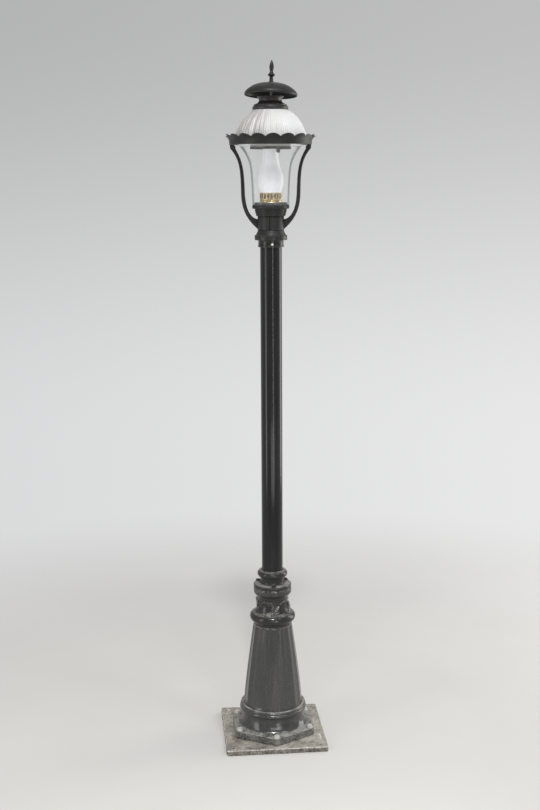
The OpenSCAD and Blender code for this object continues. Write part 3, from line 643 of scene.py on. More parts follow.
FINISHES: dict[Slot, object] = {
    Slot.PLATE: WeatheredSteel(),
    # the foot's and the castings' black paint get lighter base colours than the post tube's: painted light of the
    # sun on the lower post
    Slot.FOOT: BlackPaint(shade=(0.027, 0.028, 0.0255), dust_on_top=1.0, dust_film=0.03,
                          dust_near_ground=0.07,
                          rust_share=0.08, specks=0.7, edge_wear_and_glint=0.8, gloss=0.06, casting=0.14, ledge=0.66),
    Slot.CAST: BlackPaint(shade=(0.019, 0.019, 0.018), dust_on_top=0.90, dust_film=0.02,
                          rust_share=0.10, specks=0.25, edge_wear_and_glint=0.7, gloss=0.04,
                          casting=0.12, chalky_and_shaded_above=1.80, mirror=0.32),
    Slot.POST: BlackPaint(shade=(0.0075, 0.0075, 0.008), dust_on_top=0.4, dust_film=0.02,
                          dust_near_ground=0.05,
                          rust_share=0.05, specks=0.35, edge_wear_and_glint=0.2, gloss=0.08, casting=0.05,
                          mirror=0.28),
    Slot.NECK: BlackPaint(shade=(0.016, 0.0135, 0.0135), dust_on_top=0.30, rust=(0.040, 0.027, 0.024),
                          rust_share=0.45, specks=0.10, edge_wear_and_glint=0.2, gloss=0.36),
    Slot.DULL_BOLT: Steel((0.035, 0.033, 0.032), (0.09, 0.06, 0.04), 0.4, 0.5, 0.40),
    Slot.DUSTY_BOLT: Steel((0.62, 0.61, 0.58), (0.24, 0.19, 0.14), 0.55, 0.4, 0.40),
    Slot.BRIGHT_SCREW: Steel((0.78, 0.78, 0.76), (0.45, 0.43, 0.40), 0.25, 0.9, 0.20),
    Slot.INNER_STEEL: Steel((0.45, 0.45, 0.44), (0.22, 0.16, 0.11), 0.4, 0.8, 0.35),
    Slot.CLEAR_GLASS: ClearGlass(),
    Slot.FROSTED_GLASS: MilkGlass((0.66, 0.664, 0.67), 0.33, 0.42, 1.995),
    Slot.DOME_GLASS: PrismGlass(DOME_RIBS, -20.0),
    Slot.BULB_GLASS: MilkGlass((0.88, 0.88, 0.86), 0.05, 0.35),
    Slot.GALLERY_BRASS: Brass(),
    Slot.STEM_BRASS: Brass((0.50, 0.38, 0.17), (0.12, 0.08, 0.04), 0.5),
    Slot.ENAMEL: Enamel((0.82, 0.82, 0.80), (0.50, 0.46, 0.40), 0.35, 0.20, 0.5),
    Slot.VENT: BlackPaint(shade=(0.030, 0.024, 0.021), rust=(0.09, 0.045, 0.03), rust_share=0.6,
                          dust_on_top=0.2,
                          specks=0.1, edge_wear_and_glint=0.2, gloss=0.5),
    Slot.DECK: BlackPaint(shade=(0.020, 0.019, 0.018), dust_on_top=0.7, rust_share=0.3, specks=0.2,
                          gloss=0.4),
    Slot.RUBBER: Rubber((0.022, 0.021, 0.020)),
    Slot.CERAMIC: Enamel((0.80, 0.78, 0.73), (0.48, 0.42, 0.34), 0.3, 0.14, 0.6),
    Slot.PLASTIC: Enamel((0.66, 0.64, 0.58), (0.35, 0.31, 0.26), 0.3, 0.35, 0.1),
    Slot.SHEATH: Rubber((0.016, 0.016, 0.017)),
}


# -------------------------------------------------------------------- shapes


def curve(a: tuple, b: tuple, c: tuple, d: tuple, steps: int = 12) -> Profile:
    """Points of a cubic curve from a to d with handles b and c."""
    points = []
    for i in range(steps + 1):
        t = i / steps
        s = 1 - t
        w = (s ** 3, 3 * s * s * t, 3 * s * t * t, t ** 3)
        points.append(tuple(sum(k * p[j] for k, p in zip(w, (a, b, c, d))) for j in (0, 1)))
    return points


def arc(centre_r: float, centre_z: float, radius: float, start: float, end: float,
        steps: int = 12) -> Profile:
    """Points of a circle's arc in a profile, its angles in degrees from straight out."""
    angles = (math.radians(start + (end - start) * i / steps) for i in range(steps + 1))
    return [(centre_r + radius * math.cos(a), centre_z + radius * math.sin(a)) for a in angles]


def eased(points: Profile, radius: float, closed: bool = False, steps: int = 3) -> Profile:
    """Rounds the corners of a profile.

    Args:
        points: The profile.
        radius: How far from a corner its rounding starts, at most.
        closed: Whether the last point joins the first.
        steps: Steps in each rounding.

    Returns:
        The rounded profile.
    """
    made: Profile = []
    n = len(points)
    for i, point in enumerate(points):
        if not closed and i in (0, n - 1):
            made.append(point)
            continue
        p, a, b = Vector(point), Vector(points[i - 1]), Vector(points[(i + 1) % n])
        back, on = a - p, b - p
        if min(back.length, on.length) < 1e-6 or back.normalized().dot(on.normalized()) < -0.93:
            made.append(point)
            continue
        reach = min(radius, 0.45 * back.length, 0.45 * on.length)
        start, end = p + back.normalized() * reach, p + on.normalized() * reach
        for k in range(steps + 1):
            t = k / steps
            q = start * (1 - t) ** 2 + p * 2 * t * (1 - t) + end * t * t
            made.append((q.x, q.y))
    return made


def between(points: Profile, height: float) -> float:
    """Radius of a rising profile at a height."""
    for (r0, z0), (r1, z1) in zip(points, points[1:]):
        if z0 <= height <= z1 and z1 > z0:
            return r0 + (r1 - r0) * (height - z0) / (z1 - z0)
    return points[0][0] if height < points[0][1] else points[-1][0]


class Skin:
    """Vertices, in millimetres, and faces of a piece."""

    def __init__(self) -> None:
        """Starts empty."""
        self.points: list[Vector] = []
        self.faces: list[tuple[int, ...]] = []

    def loop(self, points: Iterable[Sequence[float]]) -> list[int]:
        """Adds points and returns their numbers."""
        first = len(self.points)
        self.points.extend(Vector(p) for p in points)
        return list(range(first, len(self.points)))

    def strip(self, lower: list[int], upper: list[int], closed: bool = True) -> None:
        """Joins two loops of equal length with four-sided faces."""
        n = len(lower)
        for i in range(n if closed else n - 1):
            j = (i + 1) % n
            self.faces.append((lower[i], lower[j], upper[j], upper[i]))

    def fan(self, loop: list[int], tip: Sequence[float]) -> None:
        """Closes a loop with triangles to a new point."""
        point = self.loop([tip])[0]
        for i, a in enumerate(loop):
            self.faces.append((a, loop[(i + 1) % len(loop)], point))

    def turned(self, profile: Profile, sides: int = 96, closed: bool = False,
               shape: Callable[[float, float, float], tuple[float, float]] | None = None) -> "Skin":
        """Adds a turned body.

        Args:
            profile: Radii and heights. Its ends are closed on the axis unless it is closed.
            sides: Steps round the axis.
            closed: Whether the last point joins the first, as in a tube.
            shape: Gives a radius and height from the angle, radius and height.

        Returns:
            The skin itself.
        """
        angles = [FULL_TURN * i / sides for i in range(sides)]
        loops = []
        for r, z in profile:
            if r < 1e-6:
                loops.append(None)
                continue
            ring = []
            for a in angles:
                rr, zz = shape(a, r, z) if shape else (r, z)
                ring.append((rr * math.cos(a), rr * math.sin(a), zz))
            loops.append(self.loop(ring))
        pairs = list(zip(loops, loops[1:])) + ([(loops[-1], loops[0])] if closed else [])
        heights = [z for _, z in profile]
        for i, (one, two) in enumerate(pairs):
            if one is not None and two is not None:
                self.strip(one, two)
            elif one is not None or two is not None:
                z = heights[(i + 1) % len(heights)] if two is None else heights[i]
                self.fan(one if two is None else two, (0, 0, z))
        if not closed:
            for end in (0, -1):
                if loops[end] is not None:
                    self.fan(loops[end], (0, 0, heights[end]))
        return self

    def lofted(self, sections: Sequence[Sequence[Sequence[float]]]) -> "Skin":
        """Adds a body through closed sections that have equally many points."""
        loops = [self.loop(s) for s in sections]
        for one, two in zip(loops, loops[1:]):
            self.strip(one, two)
        for ring, section in ((loops[0], sections[0]), (loops[-1], sections[-1])):
            self.fan(ring, sum((Vector(p) for p in section), Vector()) / len(section))
        return self

    def join(self, other: "Skin", move: Matrix | None = None) -> "Skin":
        """Adds another skin, moved by a matrix whose shift is in millimetres."""
        shift = len(self.points)
        self.points.extend(move @ p if move else p.copy() for p in other.points)
        self.faces.extend(tuple(i + shift for i in face) for face in other.faces)
        return self

    def mesh(self, name: str, weld: float = 0.0) -> bpy.types.Mesh:
        """Makes the mesh, in metres, with its faces outwards.

        Args:
            name: The mesh's name.
            weld: Points nearer than this, in millimetres, become one.

        Returns:
            The new mesh.
        """
        made = bpy.data.meshes.new(name)
        made.from_pydata([p * MM for p in self.points], [], self.faces)
        outward(made, weld)
        return made


def outward(mesh: bpy.types.Mesh, weld: float = 0.0) -> None:
    """Merges doubles, drops empty faces and turns the faces outwards."""
    work = bmesh.new()
    work.from_mesh(mesh)
    bmesh.ops.remove_doubles(work, verts=work.verts, dist=max(weld, 1e-4) * MM)
    bmesh.ops.dissolve_degenerate(work, edges=work.edges, dist=1e-8)
    bmesh.ops.recalc_face_normals(work, faces=work.faces)
    work.to_mesh(mesh)
    work.free()


# ------------------------------------------------------------ geometry nodes


@dataclass(frozen=True)
class Ring:
    """Equal copies of a mesh round the Z axis, lengths in millimetres and angles in degrees."""

    count: int
    radius: float = 0.0
    start: float = 0.0
    height: float = 0.0
    weld: float = 0.0


@dataclass(frozen=True)
class Flutes:
    """Hollows that run up a turned body, in millimetres."""

    count: int
    depth: float
    low: float
    high: float
    fade: float


class Pattern(Graph):
    """A Geometry Nodes tree with named inputs."""

    KINDS = {int: "NodeSocketInt", float: "NodeSocketFloat", bpy.types.Material: "NodeSocketMaterial"}

    def __init__(self, name: str, inputs: dict[str, type]) -> None:
        """Starts the tree.

        Args:
            name: The tree's name.
            inputs: The type of each named input, beside the shape itself.
        """
        tree = bpy.data.node_groups.new(name, "GeometryNodeTree")
        super().__init__(tree)
        tree.interface.new_socket("Shape", in_out="INPUT", socket_type="NodeSocketGeometry")
        for key, kind in inputs.items():
            tree.interface.new_socket(key, in_out="INPUT", socket_type=self.KINDS[kind])
        tree.interface.new_socket("Shape", in_out="OUTPUT", socket_type="NodeSocketGeometry")
        self.source = self.add("NodeGroupInput")

    def value(self, name: str) -> Signal:
        """A named input."""
        return Signal(self, self.source.outputs[name])

    def close(self, shape: bpy.types.NodeSocket) -> None:
        """Ends the tree in Realize Instances and Set Material."""
        real = self.add("GeometryNodeRealizeInstances", None, {0: shape})
        done = self.add("GeometryNodeSetMaterial", None,
                        {"Geometry": real.outputs[0], "Material": self.source.outputs["Finish"]})
        self.add("NodeGroupOutput", None, {0: done.outputs[0]})

    def use(self, piece: bpy.types.Object, **values: object) -> None:
        """Runs the tree on a piece and keeps the result as its plain mesh.

        Args:
            piece: The object whose mesh goes in.
            values: The named inputs.
        """
        modifier = piece.modifiers.new(self.tree.name, "NODES")
        modifier.node_group = self.tree
        for item in self.tree.interface.items_tree:
            if item.in_out == "INPUT" and item.name in values:
                modifier[item.identifier] = values[item.name]
        graph = bpy.context.evaluated_depsgraph_get()
        made = bpy.data.meshes.new_from_object(piece.evaluated_get(graph), depsgraph=graph)
        piece.modifiers.remove(modifier)
        plain, piece.data = piece.data, made
        made.name = plain.name
        bpy.data.meshes.remove(plain)


class RingPattern(Pattern):
    """Repeats a mesh at equal steps round the Z axis."""

    def __init__(self) -> None:
        """Builds the tree."""
        super().__init__("ring_pattern", {"Count": int, "Radius": float, "Start": float,
                                          "Height": float,
                                          "Weld": float, "Finish": bpy.types.Material})
        turn = self.number("GeometryNodeInputIndex", {}, {}) * (FULL_TURN / self.value("Count"))
        out = self.value("Radius")
        spot = self.add("ShaderNodeCombineXYZ", None,
                        {"X": turn.cosine() * out, "Y": turn.sine() * out})
        circle = self.add("GeometryNodePoints", None,
                          {"Count": self.value("Count"), "Position": spot.outputs[0]})
        spin = self.add("ShaderNodeCombineXYZ", None, {"Z": turn})
        copies = self.add("GeometryNodeInstanceOnPoints", None,
                          {"Points": circle.outputs[0], "Instance": self.source.outputs["Shape"],
                           "Rotation": spin.outputs[0]})
        real = self.add("GeometryNodeRealizeInstances", None, {0: copies.outputs[0]})
        shift = self.add("ShaderNodeCombineXYZ", None, {"Z": self.value("Height")})
        start = self.add("ShaderNodeCombineXYZ", None, {"Z": self.value("Start")})
        moved = self.add("GeometryNodeTransform", None,
                         {"Geometry": real.outputs[0], "Translation": shift.outputs[0],
                          "Rotation": start.outputs[0]})
        joined = self.add("GeometryNodeMergeByDistance", None,
                          {"Geometry": moved.outputs[0], "Distance": self.value("Weld")})
        self.close(joined.outputs[0])

    def apply(self, piece: bpy.types.Object, ring: Ring, finish: bpy.types.Material) -> None:
        """Repeats a piece's mesh as the ring says."""
        self.use(piece, Count=ring.count, Radius=ring.radius * MM, Start=math.radians(ring.start),
                 Height=ring.height * MM, Weld=ring.weld * MM, Finish=finish)


class FlutePattern(Pattern):
    """Sinks equal hollows into a turned body, fading out at both ends."""

    def __init__(self) -> None:
        """Builds the tree."""
        super().__init__("flute_pattern", {"Count": int, "Depth": float, "Low": float, "High": float,
                                           "Fade": float, "Finish": bpy.types.Material})
        place = self.add("GeometryNodeInputPosition").outputs[0]
        x, y, z = (self.number("ShaderNodeSeparateXYZ", {}, {0: place}, k) for k in range(3))
        turn = y.angle_to(x)
        hollow = (0.5 - (turn * self.value("Count")).cosine() * 0.5) ** 0.62
        up = ((z - self.value("Low")) / self.value("Fade")).edge(0.0, 1.0)
        down = ((self.value("High") - z) / self.value("Fade")).edge(0.0, 1.0)
        sink = hollow * (up * down) ** 0.5 * self.value("Depth") * -1.0
        shift = self.add("ShaderNodeCombineXYZ", None,
                         {"X": turn.cosine() * sink, "Y": turn.sine() * sink})
        moved = self.add("GeometryNodeSetPosition", None,
                         {"Geometry": self.source.outputs["Shape"], "Offset": shift.outputs[0]})
        self.close(moved.outputs[0])

    def apply(self, piece: bpy.types.Object, flutes: Flutes, finish: bpy.types.Material) -> None:
        """Flutes a piece."""
        self.use(piece, Count=flutes.count, Depth=flutes.depth * MM, Low=flutes.low * MM,
                 High=flutes.high * MM, Fade=flutes.fade * MM, Finish=finish)


# ------------------------------------------------------------------ workshop


def low(node: str) -> float:
    """Height of a CAD node's lowest point, in millimetres."""
    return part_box(node)[0].z / MM


def high(node: str) -> float:
    """Height of a CAD node's highest point, in millimetres."""
    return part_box(node)[1].z / MM


@dataclass
class Workshop:
    """Makes pieces and gives them the finish of their slot and their body."""

    paints: dict[Slot, bpy.types.Material] = field(default_factory=dict)
    replaced: set[str] = field(default_factory=set)

    def __post_init__(self) -> None:
        """Mixes the finishes and builds the patterns."""
        for slot, finish in FINISHES.items():
            self.paints[slot] = finish.dress(slot.value)
        self.rings = RingPattern()
        self.flutes = FlutePattern()

    def put(self, name: str, skin: Skin, body: Body, slot: Slot, nodes: Sequence[str] = (),
            move: Matrix | None = None, ring: Ring | None = None, flutes: Flutes | None = None,
            crease: float = 38.0, after: Callable[[bpy.types.Mesh], None] | None = None,
            weld: float = 0.0) -> bpy.types.Object:
        """Makes a piece.

        Args:
            name: The piece's name.
            skin: Its shape.
            body: The body it rides on.
            slot: The record's slot that its finish is from.
            nodes: The CAD nodes it stands for.
            move: Where the finished shape goes, its shift in millimetres.
            ring: How the shape is repeated, before it is moved.
            flutes: The hollows in it, before it is moved.
            crease: Angle in degrees past which an edge stays sharp.
            after: A last change to the mesh, before it is moved.
            weld: Points nearer than this become one.

        Returns:
            The piece.
        """
        mesh = skin.mesh(name, weld)
        piece = bpy.data.objects.new(name, mesh)
        bpy.context.scene.collection.objects.link(piece)
        paint = self.paints[slot]
        mesh.materials.append(paint)
        if ring:
            self.rings.apply(piece, ring, paint)
        if flutes:
            self.flutes.apply(piece, flutes, paint)
        mesh = piece.data
        if after:
            after(mesh)
        if ring and ring.weld:
            outward(mesh, ring.weld)
        if move:
            metres = move.copy()
            metres.translation = move.translation * MM
            mesh.transform(metres)
        mesh.shade_smooth()
        mesh.set_sharp_from_angle(angle=math.radians(crease))
        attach(piece, body.value)
        if nodes:
            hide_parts(*nodes)
            self.replaced.update(nodes)
        log.info("%s: %d faces on %s in %s", name, len(mesh.polygons), body.value, slot.value)
        return piece

    def dress_cad(self) -> None:
        """Gives every CAD node that still shows its slot's finish."""
        for part in frame["record"]["subparts"]:
            node, slot = part["node"], part["material_slot"]
            if node in self.replaced:
                continue
            shown = frame["nodes"][node]
            paint = self.paints[Slot(slot)]
            if not shown.material_slots:
                shown.data.materials.append(paint)
            for place in shown.material_slots:
                place.material = paint
            log.info("%s: CAD shape in %s", node, slot)


def along(direction: str) -> Matrix:
    """Turns a shape made along Z to lie along X or Y."""
    return Matrix.Rotation(math.pi / 2, 4, "Y") if direction == "X" else Matrix.Rotation(-math.pi / 2, 4, "X")


def hexagon(corner: float, angle: float, vertex: float = 0.0) -> float:
    """Radius of a hexagon at an angle in radians, from its corner radius and one corner's angle in degrees."""
    part = math.radians((math.degrees(angle) - vertex) % 60 - 30)
    return corner * math.cos(math.pi / 6) / math.cos(part)


def hex_head(corner: float, base: float, top: float, bore: float = 0.0, dome: float = 0.0) -> Skin:
    """A hexagonal nut or bolt head with chamfered corners.

    Args:
        corner: Corner radius.
        base: Height of its underside.
        top: Height of its top.
        bore: Radius of its hole, or 0 for a bolt head.
        dome: Height that the middle of a bolt head rises.

    Returns:
        The head's skin.
    """
    round_r = 0.90 * corner

    def shape(angle: float, r: float, z: float) -> tuple[float, float]:
        """Squeezes a ring to six sides and drops its corners."""
        if r < 0.97 * round_r:
            return r, z
        side = min(hexagon(corner, angle), r)
        drop = max(0.0, side - round_r) * 0.6
        return side, z - drop if z > (base + top) / 2 else z + 0.5 * drop
    profile = [(0.8 * corner, base), (round_r, base + 0.02), (corner, base + 0.05),
               (corner, top - 0.05),
               (round_r, top - 0.02), (0.82 * corner, top)]
    if bore:
        chamfer = 0.1 * bore
        profile += [(bore + chamfer, top), (bore, top - chamfer), (bore, base + chamfer),
                    (bore + chamfer, base)]
        return Skin().turned(profile, 48, True, shape)
    profile += [(0.5 * corner, top + 0.7 * dome), (0.0, top + dome)]
    return Skin().turned([(0.0, base), *profile], 48, False, shape)


def threaded(radius: float, base: float, top: float, pitch: float = 1.5, depth: float = 0.55) -> Skin:
    """A threaded stud with a chamfered end."""
    rows = max(4, int((top - base) / pitch * 6))
    profile = [(0.0, base)]
    profile += [(radius, base + (top - base - 0.8) * i / rows) for i in range(rows + 1)]
    profile += [(radius - 1.0, top), (0.0, top)]

    def shape(angle: float, r: float, z: float) -> tuple[float, float]:
        """Winds the thread round the stud."""
        if r < radius:
            return r, z
        phase = (z / pitch - angle / FULL_TURN) % 1.0
        return r - depth * abs(2 * phase - 1), z
    return Skin().turned(profile, 32, False, shape)


# ---------------------------------------------------------------------- base


@dataclass
class Base:
    """Square plate, crating studs, hexagonal foot casting and its bolts."""

    side: float = 368.0
    hole_off: float = 160.0
    hole_r: float = 7.0
    corner: float = 5.0
    stud_x: float = 159.0
    stud_y: float = 121.0
    stud_r: float = 5.0
    hex_r: float = 168.0
    hex_t: float = 27.0
    above_hex: float = 80.0
    cable_r: float = 22.0
    bolt_circle: float = 149.0
    bolt_r: float = 5.0
    pedestal_r: float = 108.5
    chip: float = 1.5
    chip_seed: Vector = field(default_factory=lambda: Vector((3.7, 1.3, 9.1)))

    def outline(self, inset: float, worn: float) -> list[tuple[float, float]]:
        """The plate's edge, moved in by inset and chipped by worn."""
        half, steps = self.side / 2, 46
        points = []
        for side in range(4):
            turn = Matrix.Rotation(side * math.pi / 2, 2)
            straight = [Vector((half, -half + self.corner + (self.side - 2 * self.corner) * i / steps))
                        for i in range(steps + 1)]
            bend = [Vector((half - self.corner + self.corner * math.cos(a),
                            half - self.corner + self.corner * math.sin(a)))
                    for a in (math.radians(k) for k in (22.5, 45.0, 67.5))]
            points += [turn @ p for p in straight + bend]
        made = []
        for p in points:
            place = Vector((p.x, p.y, 0.0)) * 0.045 + self.chip_seed
            bite = max(0.0, noise.noise(place) - 0.12) * 3.2 + max(0.0, noise.noise(place * 4.1) - 0.05) * 1.2
            reach = inset + worn * min(1.0, bite) * self.chip
            made.append((p.x * (half - reach) / half, p.y * (half - reach) / half))
        return made

    def plate(self, shop: Workshop) -> None:
        """Makes the plate, with its corner holes and the cable hole."""
        base, top = low("base_plate"), high("base_plate")
        holes = [(i * self.hole_off, j * self.hole_off, self.hole_r) for i in (-1, 1) for j in (-1, 1)]
        holes.append((0.0, 0.0, self.cable_r))
        skin = Skin()
        levels = [(base, 1.2, 0.6), (base + 1.4, 0.2, 0.8), (base + 6, 0.0, 0.5), (top - 6, 0.0, 0.6),
                  (top - 2.0, 0.3, 1.0), (top - 0.6, 1.1, 1.4), (top, 2.8, 1.4)]
        rims = [skin.loop([(x, y, z) for x, y in self.outline(inset, worn)]) for z, inset,
                worn in levels]
        for one, two in zip(rims, rims[1:]):
            skin.strip(one, two)
        bottoms, tops = [rims[0]], [rims[-1]]
        for x, y, r in holes:
            rings = []
            for z, grow in ((base, 0.8), (base + 0.8, 0.0), (top - 1.0, 0.0), (top - 0.3, 0.4),
                            (top, 1.2)):
                rings.append(skin.loop([(x + (r + grow) * math.cos(a), y + (r + grow) * math.sin(a), z)
                                        for a in (FULL_TURN * k / 28 for k in range(28))]))
            for one, two in zip(rings, rings[1:]):
                skin.strip(one, two)
            bottoms.append(rings[0])
            tops.append(rings[-1])
        for loops in (bottoms, tops):
            flat = [i for loop in loops for i in loop]
            for a, b, c in tessellate_polygon([[skin.points[i] for i in loop] for loop in loops]):
                skin.faces.append((flat[a], flat[b], flat[c]))
        shop.put("plate", skin, Body.POST, Slot.PLATE, ["base_plate"], crease=30)

    def foot(self, shop: Workshop) -> None:
        """Makes the hexagonal flange, the bell and the double bead in one casting."""
        base, top = low("foot_casting"), high("foot_casting")
        hex_top = base + self.hex_t
        ring = self.pedestal_r + 2.5
        bell = curve((135, hex_top + 1.9), (ring + 11, hex_top + 6), (ring + 3, hex_top + 24),
                     (ring, top - 33), 18)
        outer = [(self.hex_r - 1.8, base), (self.hex_r, base + 1.8), (self.hex_r, hex_top - 2.4),
                 (self.hex_r - 0.8, hex_top - 0.8), (self.hex_r - 2.6, hex_top), (139.6, hex_top + 0.1),
                 (137.2, hex_top + 0.5), (135.8, hex_top + 1.2), *bell, (ring, top - 27.5)]
        outer += arc(ring + 2.6, top - 17.6, 9.4, -78, 42,
                     12) + arc(ring + 1.6, top - 7.8, 7.8, -22, 96, 12)
        inner = [(ring - 2.2, top - 0.6), (ring - 2.2, top - 9), (ring - 8, top - 21), (ring - 8, base)]
        flat_z = hex_top + 0.05

        def shape(angle: float, r: float, z: float) -> tuple[float, float]:
            """Makes the flange six-sided, with slightly rounded corners and a cast waviness."""
            if r > 140 and z < flat_z:
                side = hexagon(self.hex_r, angle, 30.0)
                soft = self.hex_r - 1.6
                return min(side, soft) - (self.hex_r - r), z
            wave = noise.noise(Vector((3 * math.cos(angle), 3 * math.sin(angle), z * 0.03))) * 0.35
            return r + (wave if r > ring else 0.0), z
        skin = Skin().turned(outer + inner, 240, True, shape)
        shop.put("foot_bell", skin, Body.POST, Slot.FOOT, ["foot_casting"], crease=34)

    def bolts(self, shop: Workshop) -> None:
        """Makes the flange bolts and the two studs with their nuts."""
        seat = high("foot_casting") - self.above_hex
        washer = Skin().turned(eased([(0.0, 0.0), (11.0, 0.0), (11.0, 2.5), (8.0, 2.5), (0.0, 2.5)],
                                     0.5), 40)
        head = hex_head(1.9 * self.bolt_r, 2.4, 8.4, dome=0.6)
        shank = Skin().turned([(0.0, -30.0), (self.bolt_r, -30.0), (self.bolt_r, 1.0), (0.0, 1.0)], 24)
        head.join(washer).join(shank)
        shop.put("flange_bolts", head, Body.POST, Slot.DUSTY_BOLT, ["foot_bolts"],
                 ring=Ring(6, self.bolt_circle, 30.0, seat))
        off = math.hypot(self.stud_x, self.stud_y)
        start = math.degrees(math.atan2(self.stud_y, -self.stud_x))
        plate_top = high("base_plate")
        stud = threaded(self.stud_r - 0.02, plate_top - 11.5, high("crating_studs"))
        shop.put("plate_studs", stud, Body.POST, Slot.DUSTY_BOLT, ["crating_studs"],
                 ring=Ring(2, off, start))
        nut = hex_head(1.9 * self.stud_r, 0.05, high("stud_nuts") - plate_top, self.stud_r + 0.05)
        shop.put("plate_nuts", nut, Body.POST, Slot.DUSTY_BOLT, ["stud_nuts"],
                 ring=Ring(2, off, start, plate_top))

    def build(self, shop: Workshop) -> None:
        """Makes every piece of the base."""
        self.plate(shop)
        self.foot(shop)
        self.bolts(shop)


@dataclass
class Pedestal:
    """Tapered pedestal with shallow flutes."""

    bottom_r: float = 108.5
    top_r: float = 71.0
    wall: float = 8.0
    flutes: int = 16
    flute_depth: float = 2.6

    def build(self, shop: Workshop) -> None:
        """Makes the pedestal."""
        base, top = low("pedestal"), high("pedestal")
        tall = top - base
        outer = curve((self.bottom_r, base), (self.bottom_r - 3.5, base + 0.24 * tall),
                      (self.top_r + 14, base + 0.67 * tall), (self.top_r, top), 64)
        inner = [(r - self.wall, z) for r, z in reversed(outer[::8])]
        skin = Skin().turned(outer + inner, 240, True)
        sunk = base + 12
        shop.put("fluted_pedestal", skin, Body.POST, Slot.FOOT, ["pedestal"],
                 flutes=Flutes(self.flutes, self.flute_depth, sunk, top, 5), crease=50)


# ------------------------------------------------------------------- capital


@dataclass
class Capital:
    """Capital with its beads, the cast leaf frieze on its drum and the top flange."""

    ring_r: float = 66.0
    bead_r: float = 18.0
    bead_z: float = 28.5
    waist_r: float = 56.0
    foot_r: float = 71.0
    flange_r: float = 69.1
    bore_r: float = 38.4
    tube_in_r: float = 34.6
    seat: float = 49.0
    leaf_repeats: int = 5
    leaf_start: float = -118.0

    def drum(self, tall: float) -> Profile:
        """Outer profile above the big bead's middle, from the capital's foot."""
        top = self.bead_z + self.bead_r
        flare = eased([(self.waist_r + 0.5, tall - 43), (self.waist_r + 6, tall - 29),
                       (self.flange_r - 1, tall - 23),
                       (self.flange_r, tall - 20), (self.flange_r, tall - 2)], 3.0)
        return curve((self.waist_r + 7.5, top), (self.waist_r + 1.5, top + 15),
                     (self.waist_r - 1.5, tall - 56),
                     (self.waist_r + 0.5, tall - 43), 16) + flare[1:]

    def surface(self, tall: float) -> Profile:
        """The outside from the big bead's middle to the flange, rising."""
        return arc(self.ring_r, self.bead_z, self.bead_r, 0, 66, 10) + self.drum(tall)

    def blade(self, spine: Sequence[tuple[float, float]], width: float, lift: float, surface: Profile,
              point: float = 0.75) -> Skin:
        """A raised leaf or tendril that follows the drum.

        Args:
            spine: Angles in degrees and heights along its middle.
            width: Its half width at the middle.
            lift: How far it stands out.
            surface: The profile that it lies on.
            point: How pointed its ends are.

        Returns:
            The leaf's skin.
        """
        line = smooth_line(spine, 15)
        middle = []
        for angle, z in line:
            r, a = between(surface, z), math.radians(angle)
            middle.append(Vector((r * math.cos(a), r * math.sin(a), z)))
        sections = []
        for i, p in enumerate(middle):
            t = i / (len(middle) - 1)
            go = (middle[min(i + 1, len(middle) - 1)] - middle[max(i - 1, 0)]).normalized()
            z = line[i][1]
            slope = between(surface, z + 1) - between(surface, z - 1)
            out = Vector((p.x, p.y, 0)).normalized() * 2 - Vector((0, 0, slope))
            out.normalize()
            side = go.cross(out).normalized()
            full = max(0.03, math.sin(math.pi * (0.06 + 0.88 * t)) ** point)
            ridge = []
            for k in range(10):
                b = FULL_TURN * k / 10
                up = math.sin(b)
                rise = max(-0.6, up) if up < 0 else up ** 1.4
                ridge.append(p + side * width * full * math.cos(b) + out * lift * (0.25 + 0.75 * full) * rise)
            sections.append(ridge)
        return Skin().lofted(sections)

    def frieze(self, tall: float) -> Skin:
        """One repeat of the leaf frieze."""
        surface = self.surface(tall)
        skin = Skin()
        leaves = (
            ([(0, 51), (14, 51), (31, 60), (47, 80)], 9.0, 8.5),
            ([(-22, 84), (-10, 92), (4, 90), (12, 81)], 4.4, 6.0),
            ([(-12, 50), (4, 46), (24, 47), (46, 57)], 3.8, 6.0),
            ([(20, 66), (24, 76), (18, 87), (6, 93)], 4.8, 5.5),
        )
        for spine, width, lift in leaves:
            skin.join(self.blade(spine, width, lift, surface))
        return skin

    def build(self, shop: Workshop) -> None:
        """Makes the capital and the frieze."""
        base, tall = low("capital"), high("capital") - low("capital")
        outer = [(self.foot_r - 0.6, 0.0), (self.foot_r, 0.6),
                 (self.foot_r, 8.6)] + arc(self.ring_r, self.bead_z - 1.2, self.bead_r - 0.3, -70, 66,
                                           20)
        outer += self.drum(tall)[1:] + [(self.flange_r - 0.7, tall - 0.6), (self.flange_r - 2, tall)]
        inner = [(self.bore_r, tall), (self.bore_r, self.seat), (self.tube_in_r, self.seat),
                 (self.tube_in_r, 1.0)]
        skin = Skin().turned(outer + inner, 128, True)
        up = Matrix.Translation((0, 0, base))
        shop.put("capital_casting", skin, Body.POST, Slot.CAST, ["capital"], up, crease=40)
        shop.put("capital_leaves", self.frieze(tall), Body.POST, Slot.CAST, (), up,
                 Ring(self.leaf_repeats, 0.0, self.leaf_start), crease=50)


def smooth_line(points: Sequence[tuple[float, float]], steps: int) -> Profile:
    """A Catmull-Rom line through points, with steps in all."""
    if len(points) > steps:
        return list(points)
    ends = [points[0], *points, points[-1]]
    made = []
    for i in range(steps + 1):
        t = i / steps * (len(points) - 1)
        k = min(int(t), len(points) - 2)
        u = t - k
        a, b, c, d = (Vector(p) for p in ends[k:k + 4])
        q = 0.5 * (2 * b + (c - a) * u + (2 * a - 5 * b + 4 * c - d) * u * u + (3 * b - a - 3 * c + d) * u ** 3)
        made.append((q.x, q.y))
    return made


